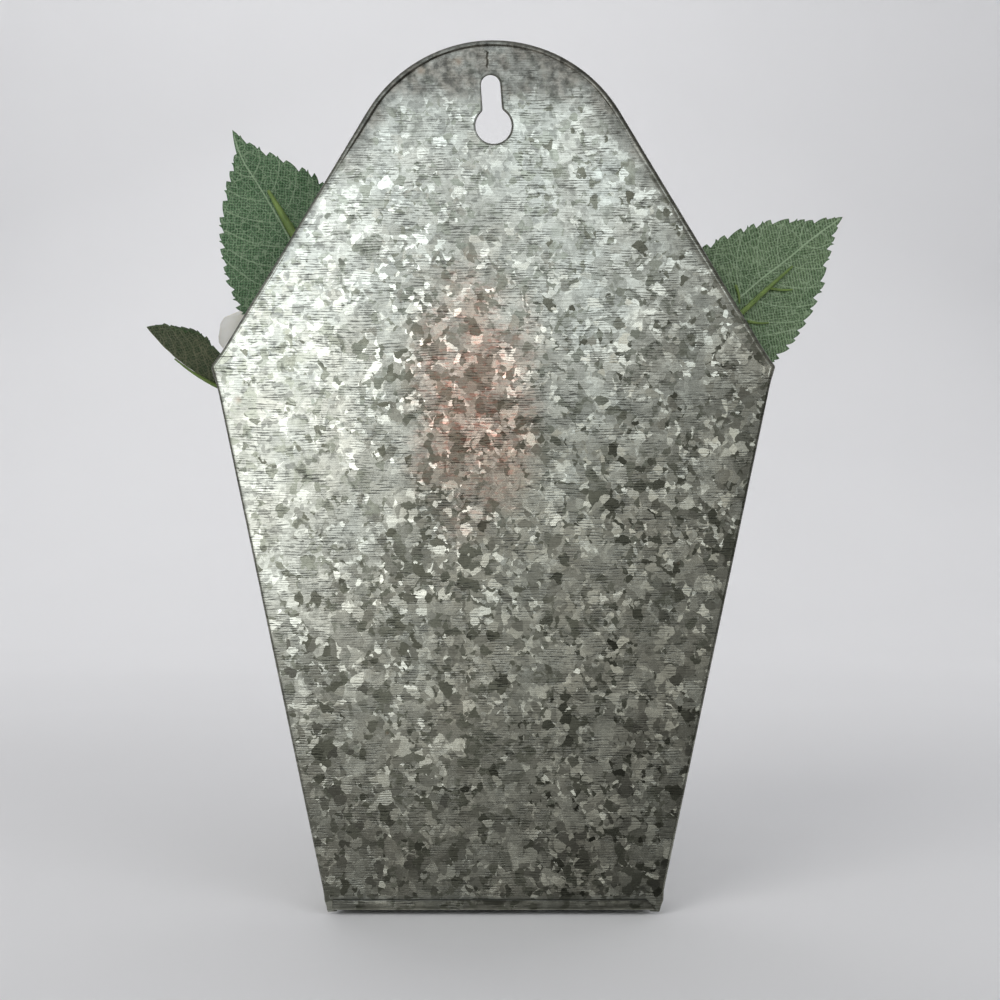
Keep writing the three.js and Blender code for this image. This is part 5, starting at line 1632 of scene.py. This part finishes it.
for name in ROSES:
    kk = ROSES[name][2]
    seed = {"left": 1.0, "centre": 2.3, "right": 3.7}[name]
    turn = {"left": 0.25, "centre": 0.9, "right": 0.05}[name]
    layers = (
        ("outer_petals", [
            (5, 0.0, 0.78, [(4.5, 1.0), (10, 1.7), (18, 4.0), (25, 7.4), (30, 11.0), (33.0, 13.6)], (1.6, 2.6), 0.9, 0.05, 0.7),
            (5, 0.63, 0.72, [(4.5, 2.0), (9.5, 2.9), (17, 5.7), (22.5, 9.6), (26.6, 13.8), (29.3, 17.0)], (2.2, 2.4), 0.8, 0.04, 0.6),
        ]),
        ("inner_petals", [
            (5, 0.30, 0.74, [(4.0, 4.2), (9, 5.2), (16, 8.7), (20.6, 13.8), (22.8, 18.8), (24.0, 22.4)], (2.4, 1.5), 0.7, 0.03, 0.6),
            (4, 0.85, 0.86, [(4.0, 5.6), (8, 6.7), (13.6, 10.2), (17.3, 15.6), (18.9, 21.2), (19.3, 25.6)], (2.2, 1.0), 0.6, 0.03, 0.7),
        ]),
        ("bud", [
            (3, 0.10, 1.15, [(3.0, 7.2), (7.5, 8.2), (11.5, 12.2), (13.6, 17.2), (13.8, 22.0), (12.9, 27.6)], (1.7, 0.6), 0.4, 0.02, 0.9),
            (3, 0.95, 1.25, [(2.5, 8.4), (6, 9.6), (9.0, 13.5), (10.4, 18.4), (10.0, 23.6), (8.8, 29.0)], (1.3, 0.4), 0.35, 0.02, 0.8),
            (2, 0.50, 1.75, [(2.0, 9.8), (4.5, 11.0), (6.2, 14.6), (7.0, 19.4), (6.4, 25.0), (5.2, 30.2)], (0.8, 0.2), 0.25, 0.02, 0.9),
            (2, 2.10, 1.75, [(0.8, 11.0), (2.2, 12.2), (3.2, 15.8), (3.7, 20.5), (3.1, 26.0), (1.9, 31.2)], (0.4, 0.0), 0.15, 0.02, 0.7),
        ]),
    )
    for layer, rings in layers:
        bag, total = Bag(), 0.0
        for ri, (count, w0, half, prof, curl, ruffle, tp, lean) in enumerate(rings):
            kept = reach(name, prof, curl)
            kept = np.concatenate([kept, kept[:1]])
            for i in range(count):
                jit = 0.05 * math.sin(seed * 7 + i * 3.1 + ri)
                total += petal(bag, name, turn + w0 + 2 * math.pi * i / count + jit, half, prof, curl, ruffle, seed + i * 1.9 + ri * 0.7, kept, lean=lean, tip=tp)
        o = make(f"rose_{layer}_{name}_cloth", bag.v, bag.f, M_PETAL, "arrangement", f"rose_{layer}_{name}", bag.a, bag.uv, sharp=60)
        side = math.sqrt(total / 0.72)
        SIZES[f"rose_{layer}_{name}"] = (side, side, total)

# ------------------------------------------------------------------ foam
def build_foam():
    bag = Bag()
    n = 72

    def ring(z, inset):
        a_, b_ = shell_a(z) - SHEET - 1.0 - inset, shell_b(z) + Y_FLANGE - SHEET - 1.0 - inset
        y0 = -3.5 - inset
        s0 = math.asin(min(1.0, (Y_FLANGE - y0) / b_))
        w = np.linspace(s0, math.pi - s0, n)
        arc_ = [[a_ * math.cos(v), Y_FLANGE - b_ * math.sin(v)] for v in w]
        x0, x1 = arc_[-1][0], arc_[0][0]
        rear = [[x0 + (x1 - x0) * t, y0] for t in np.linspace(0, 1, 26)[1:-1]]
        return [[q[0], q[1], z] for q in arc_ + rear]
    levels = [(Z_BASE + SHEET + 0.3, 1.4), (Z_BASE + SHEET + 0.5, 0.5), (Z_BASE + SHEET + 1.6, 0.0)]
    levels += [(z, 0.0) for z in np.linspace(-266, -231, 12)]
    levels += [(-229.3, 0.15), (-228.4, 0.7), (-228.05, 1.8)]
    rings = [ring(z, i) for z, i in levels]
    m = len(rings[0])
    verts = []
    for k_, rr in enumerate(rings):
        for x, y, z in rr:
            cut = 0.35 * noise.noise(Vector((x * 0.15, y * 0.15, z * 0.15))) - 0.35
            s = 1 + cut / max(abs(x) + abs(y), 20)
            verts.append([x * s, min(y * s, -3.5), z])
    faces = grid_faces(len(rings), m, wrap_cols=True)
    last = (len(rings) - 1) * m
    loop = np.array([v[:2] for v in verts[last:last + m]])
    gx, gy = np.meshgrid(np.arange(-62, 62, 2.2), np.arange(-60, -4, 2.2))
    g = np.stack([gx.ravel(), gy.ravel()], 1)
    holes = []
    for name in STEMS:
        path = STEM_PATH[name]
        i = int(np.argmin(abs(path[:, 2] - FOAM_TOP)))
        c = path[i]
        holes.append(np.array([[c[0] + 2.15 * math.cos(w), c[1] + 2.15 * math.sin(w)] for w in np.linspace(0, 2 * math.pi, 24, endpoint=False)]))
    ok = inside(g, loop) & (distance(g, loop) > 1.2)
    for h_ in holes:
        ok &= ~inside(g, h_) & (distance(g, h_) > 0.8)
    g = g[ok]
    pts, tris = triangulate([loop] + holes, g)
    ids = {}
    for i in range(len(pts)):
        if i < m:
            ids[i] = last + i
        else:
            x, y = pts[i]
            dd = min(distance(pts[i:i + 1], h_)[0] for h_ in holes)
            z = FOAM_TOP - 0.05 + 0.0 + 0.25 * noise.noise(Vector((x * 0.2, y * 0.2, 3.0))) - 0.5 * math.exp(-dd / 0.6)
            ids[i] = len(verts)
            verts.append([x, y, min(z, FOAM_TOP)])
    faces += [tuple(ids[i] for i in t) for t in tris]
    # walls of the three stem holes, 34 mm deep, following the stems
    at = m
    for name, h_ in zip(STEMS, holes):
        path = STEM_PATH[name]
        prev = [ids[at + i] for i in range(len(h_))]
        for z in np.linspace(FOAM_TOP - 1.5, -263.0, 10):
            c = [np.interp(z, path[:, 2], path[:, k_]) for k_ in range(2)]
            new = []
            for w in np.linspace(0, 2 * math.pi, 24, endpoint=False):
                new.append(len(verts))
                verts.append([c[0] + 2.15 * math.cos(w), c[1] + 2.15 * math.sin(w), z])
            for j in range(24):
                faces.append((prev[j], prev[(j + 1) % 24], new[(j + 1) % 24], new[j]))
            prev = new
        faces.append(tuple(prev))
        at += len(h_)
    base = [list(v[:2]) for v in verts[:m]]
    faces.append(tuple(reversed(range(m))))
    return verts, faces


verts, faces = build_foam()
foam = make("foam_block_cut", verts, faces, M_FOAM, "arrangement", "foam_block", sharp=55)
weld(foam, 0.0005)

# ------------------------------------------------------------------ stage and light
def stage_material():
    k = Mat("stage_pale")
    P = k.coords()
    base = k.mix(k.noise(P, 0.004, 2.0), (0.80, 0.80, 0.81), (0.84, 0.84, 0.85))
    return k.principled(Base_Color=base, Roughness=0.95, Specular_IOR_Level=0.1)


def build_stage():
    m = stage_material()
    prof = [(0.0, -0.2742), (-0.2, -0.2742), (-0.8, -0.2742)]
    prof += [(-0.9 - 0.9 * math.sin(w), 0.6258 - 0.9 * math.cos(w)) for w in np.linspace(0.05, math.pi / 2, 24)]
    prof += [(-1.8, 1.2), (-1.8, 3.4)]
    rear = [(-y, z) for y, z in prof[::-1]]
    for name, line in (("stage_sweep", prof), ("stage_floor", rear)):
        verts = [[x, y, z] for x in (-4.0, 4.0) for y, z in line]
        n = len(line)
        me = bpy.data.meshes.new(name)
        me.from_pydata(verts, [], [(i, i + 1, n + i + 1, n + i) for i in range(n - 1)])
        me.shade_smooth()
        me.materials.append(m)
        o = bpy.data.objects.new(name, me)
        scene.collection.objects.link(o)
        o.visible_glossy = name == "stage_sweep"


build_stage()

world = bpy.data.worlds.new("world")
world.use_nodes = True
bg = world.node_tree.nodes["Background"]
bg.inputs[0].default_value = (0.92, 0.93, 0.97, 1)
bg.inputs[1].default_value = 0.215
scene.world = world


def area(name, at, look, size, power, color=(1, 1, 1), camera=False, glossy=True, diffuse=True, spread=180):
    d = bpy.data.lights.new(name, "AREA")
    d.shape = "RECTANGLE"
    d.size, d.size_y = size
    d.energy = power
    d.color = color
    d.spread = math.radians(spread)
    o = bpy.data.objects.new(name, d)
    scene.collection.objects.link(o)
    o.location = at
    o.rotation_euler = (Vector(look) - Vector(at)).to_track_quat("-Z", "Y").to_euler()
    o.visible_camera = camera
    o.visible_glossy = glossy
    o.visible_diffuse = diffuse
    return o


def dome(name, radius, centre, paint):
    """A half dome on the +Y side that glows, only seen in reflections."""
    k = Mat(name)
    colour, strength = paint(k)
    e = k.node("ShaderNodeEmission", Color=colour, Strength=strength)
    out = k.node("ShaderNodeOutputMaterial")
    k.t.links.new(e.outputs[0], out.inputs["Surface"])
    verts, nu, nv = [], 64, 24
    for i in range(nv + 1):
        w = math.pi / 2 * i / nv
        for j in range(nu):
            a = 2 * math.pi * j / nu
            verts.append((centre[0] + radius * math.sin(w) * math.cos(a), centre[1] + radius * math.cos(w) - 0.03, centre[2] + radius * math.sin(w) * math.sin(a)))
    me = bpy.data.meshes.new(name)
    me.from_pydata(verts, [], grid_faces(nv + 1, nu, wrap_cols=True))
    me.materials.append(k.m)
    o = bpy.data.objects.new(name, me)
    scene.collection.objects.link(o)
    o.visible_camera = o.visible_diffuse = o.visible_shadow = o.visible_transmission = False
    return o


# The window side of the room as the back panel mirrors it: on a plane 1.5 m behind the camera's
# side, a point of the panel at (x, z) is seen at x + (x - cam_x) * 2.727.
SOFT_Y = 1.5
SC = 1.0 + SOFT_Y / 0.55


def mirror_px(px, py):
    """Where on the card the panel mirrors a point of the frame, in mm."""
    x, z = -(px - 493.5) * PX, (84.4 - py) * PX
    return x + (x - CAM.x) * SOFT_Y / 0.55, z + (z - CAM.z) * SOFT_Y / 0.55


def room(k):
    P = k.coords()
    x, y, z = k.split(P)
    # picture coordinates, in pixels, where the flat panel mirrors this direction
    far = k.math("DIVIDE", SOFT_Y * 1000.0, k.math("MAXIMUM", y, 60.0))
    cx = k.math("SUBTRACT", x, CAM.x)
    cz = k.math("SUBTRACT", z, CAM.z)
    ux = k.math("ADD", k.math("MULTIPLY", k.math("MULTIPLY", cx, far), -1.0 / SC / PX), 500.0)
    uy = k.math("ADD", k.math("MULTIPLY", k.math("MULTIPLY", cz, far), -1.0 / SC / PX), 500.0)
    # tall bright window at the left, its inner edge leaning left and softening towards the bottom
    e1 = k.math("SUBTRACT", ux, k.math("SUBTRACT", 420.0, k.math("MULTIPLY", k.math("SUBTRACT", uy, 150.0), 0.225)))
    soft = k.remap(uy, 250.0, 620.0, 10.0, 28.0)
    left = k.math("MULTIPLY", k.remap(k.math("DIVIDE", e1, soft), 1.0, -1.0), k.remap(uy, 770.0, 540.0))
    left = k.math("MULTIPLY", left, k.remap(ux, -420.0, -120.0))
    left = k.math("MULTIPLY", left, k.remap(uy, 70.0, 170.0, 0.2, 1.0))
    # a paler pane beside it
    pane = k.math("MULTIPLY", k.remap(e1, 62.0, 50.0), k.math("MULTIPLY", k.remap(uy, 280.0, 330.0), k.remap(uy, 560.0, 480.0)))
    # narrower light right of the middle, upper half
    e2 = k.math("SUBTRACT", ux, k.math("ADD", 575.0, k.math("MULTIPLY", k.math("SUBTRACT", uy, 200.0), 0.12)))
    right = k.math("MULTIPLY", k.remap(e2, -75.0, -14.0), k.remap(e2, 50.0, 34.0))
    right = k.math("MULTIPLY", right, k.remap(uy, 450.0, 300.0))
    right = k.math("MULTIPLY", right, k.remap(uy, 60.0, 150.0, 0.3, 1.0))
    # the rest of the room, darker towards the floor and the right
    base = k.ramp(k.remap(uy, 0.0, 1000.0, 0.0, 1.0, "LINEAR"), [(0.0, 0.85), (0.10, 0.99), (0.14, 0.99), (0.22, 0.81), (0.30, 0.74), (0.38, 0.66), (0.46, 0.55), (0.54, 0.46), (0.62, 0.43), (0.70, 0.38), (0.78, 0.30), (0.82, 0.235), (0.86, 0.175), (0.90, 0.14), (1.0, 0.11)])
    e3 = k.math("SUBTRACT", ux, k.math("SUBTRACT", 748.0, k.math("MULTIPLY", k.math("MAXIMUM", k.math("SUBTRACT", uy, 400.0), 0.0), 0.215)))
    base = k.math("MULTIPLY", base, k.remap(ux, 600.0, 680.0, 1.0, 0.84))
    base = k.math("MULTIPLY", base, k.remap(e3, -100.0, 0.0, 1.0, 0.42))
    out = k.math("MULTIPLY", k.remap(ux, 1900.0, 1100.0, 0.75, 1.0), k.remap(ux, -900.0, -300.0, 0.75, 1.0))
    base = k.math("MULTIPLY", k.math("MULTIPLY", base, out), 0.97)
    base = k.math("ADD", base, k.remap(uy, 1090.0, 1500.0, 0.0, 0.42))
    lights = k.math("ADD", k.math("MULTIPLY", left, k.remap(uy, 200.0, 480.0, 1.22, 1.35)), k.math("MULTIPLY", right, 0.88))
    total = k.math("ADD", base, k.math("ADD", lights, k.math("MULTIPLY", pane, 0.12)))
    cool = k.mix(k.math("MAXIMUM", k.remap(ux, 420.0, 560.0), k.remap(uy, 360.0, 240.0)), (0.975, 0.995, 0.985), (0.925, 0.995, 1.04))
    col = k.mix(k.remap(total, 0.35, 1.2), (1.0, 0.985, 0.90), cool)
    return col, total


dome("reflection_dome", 1.9, (0.0, 0.0, CAM.z * MM), room)

# soft light on the back, not mirrored by the sheet
area("key_rear", (0.9, 1.3, 0.9), (0, 0, -0.1), (1.0, 1.0), 9, (1.0, 0.99, 0.97), glossy=False)
area("fill_rear", (-1.1, 1.2, 0.4), (0, 0, -0.1), (1.0, 1.0), 4.8, (0.96, 0.98, 1.0), glossy=False)
# the room side, for the front of the object and the backdrop
area("key_front", (0.7, -1.1, 0.9), (0, 0, -0.1), (0.8, 0.8), 3.5)
area("fill_front", (-0.9, -1.0, 0.7), (0, 0, -0.1), (0.8, 1.0), 2.0)
area("top_soft", (0, -0.3, 1.5), (0, -0.3, -0.2), (1.6, 1.6), 2.8)
area("wall_light", (0.35, -0.7, 1.5), (0.05, -1.8, 1.15), (1.3, 0.6), 10.5)

area("wall_light_rear", (-0.2, 0.75, 1.5), (0, 1.8, 0.9), (1.6, 0.6), 10, glossy=False)
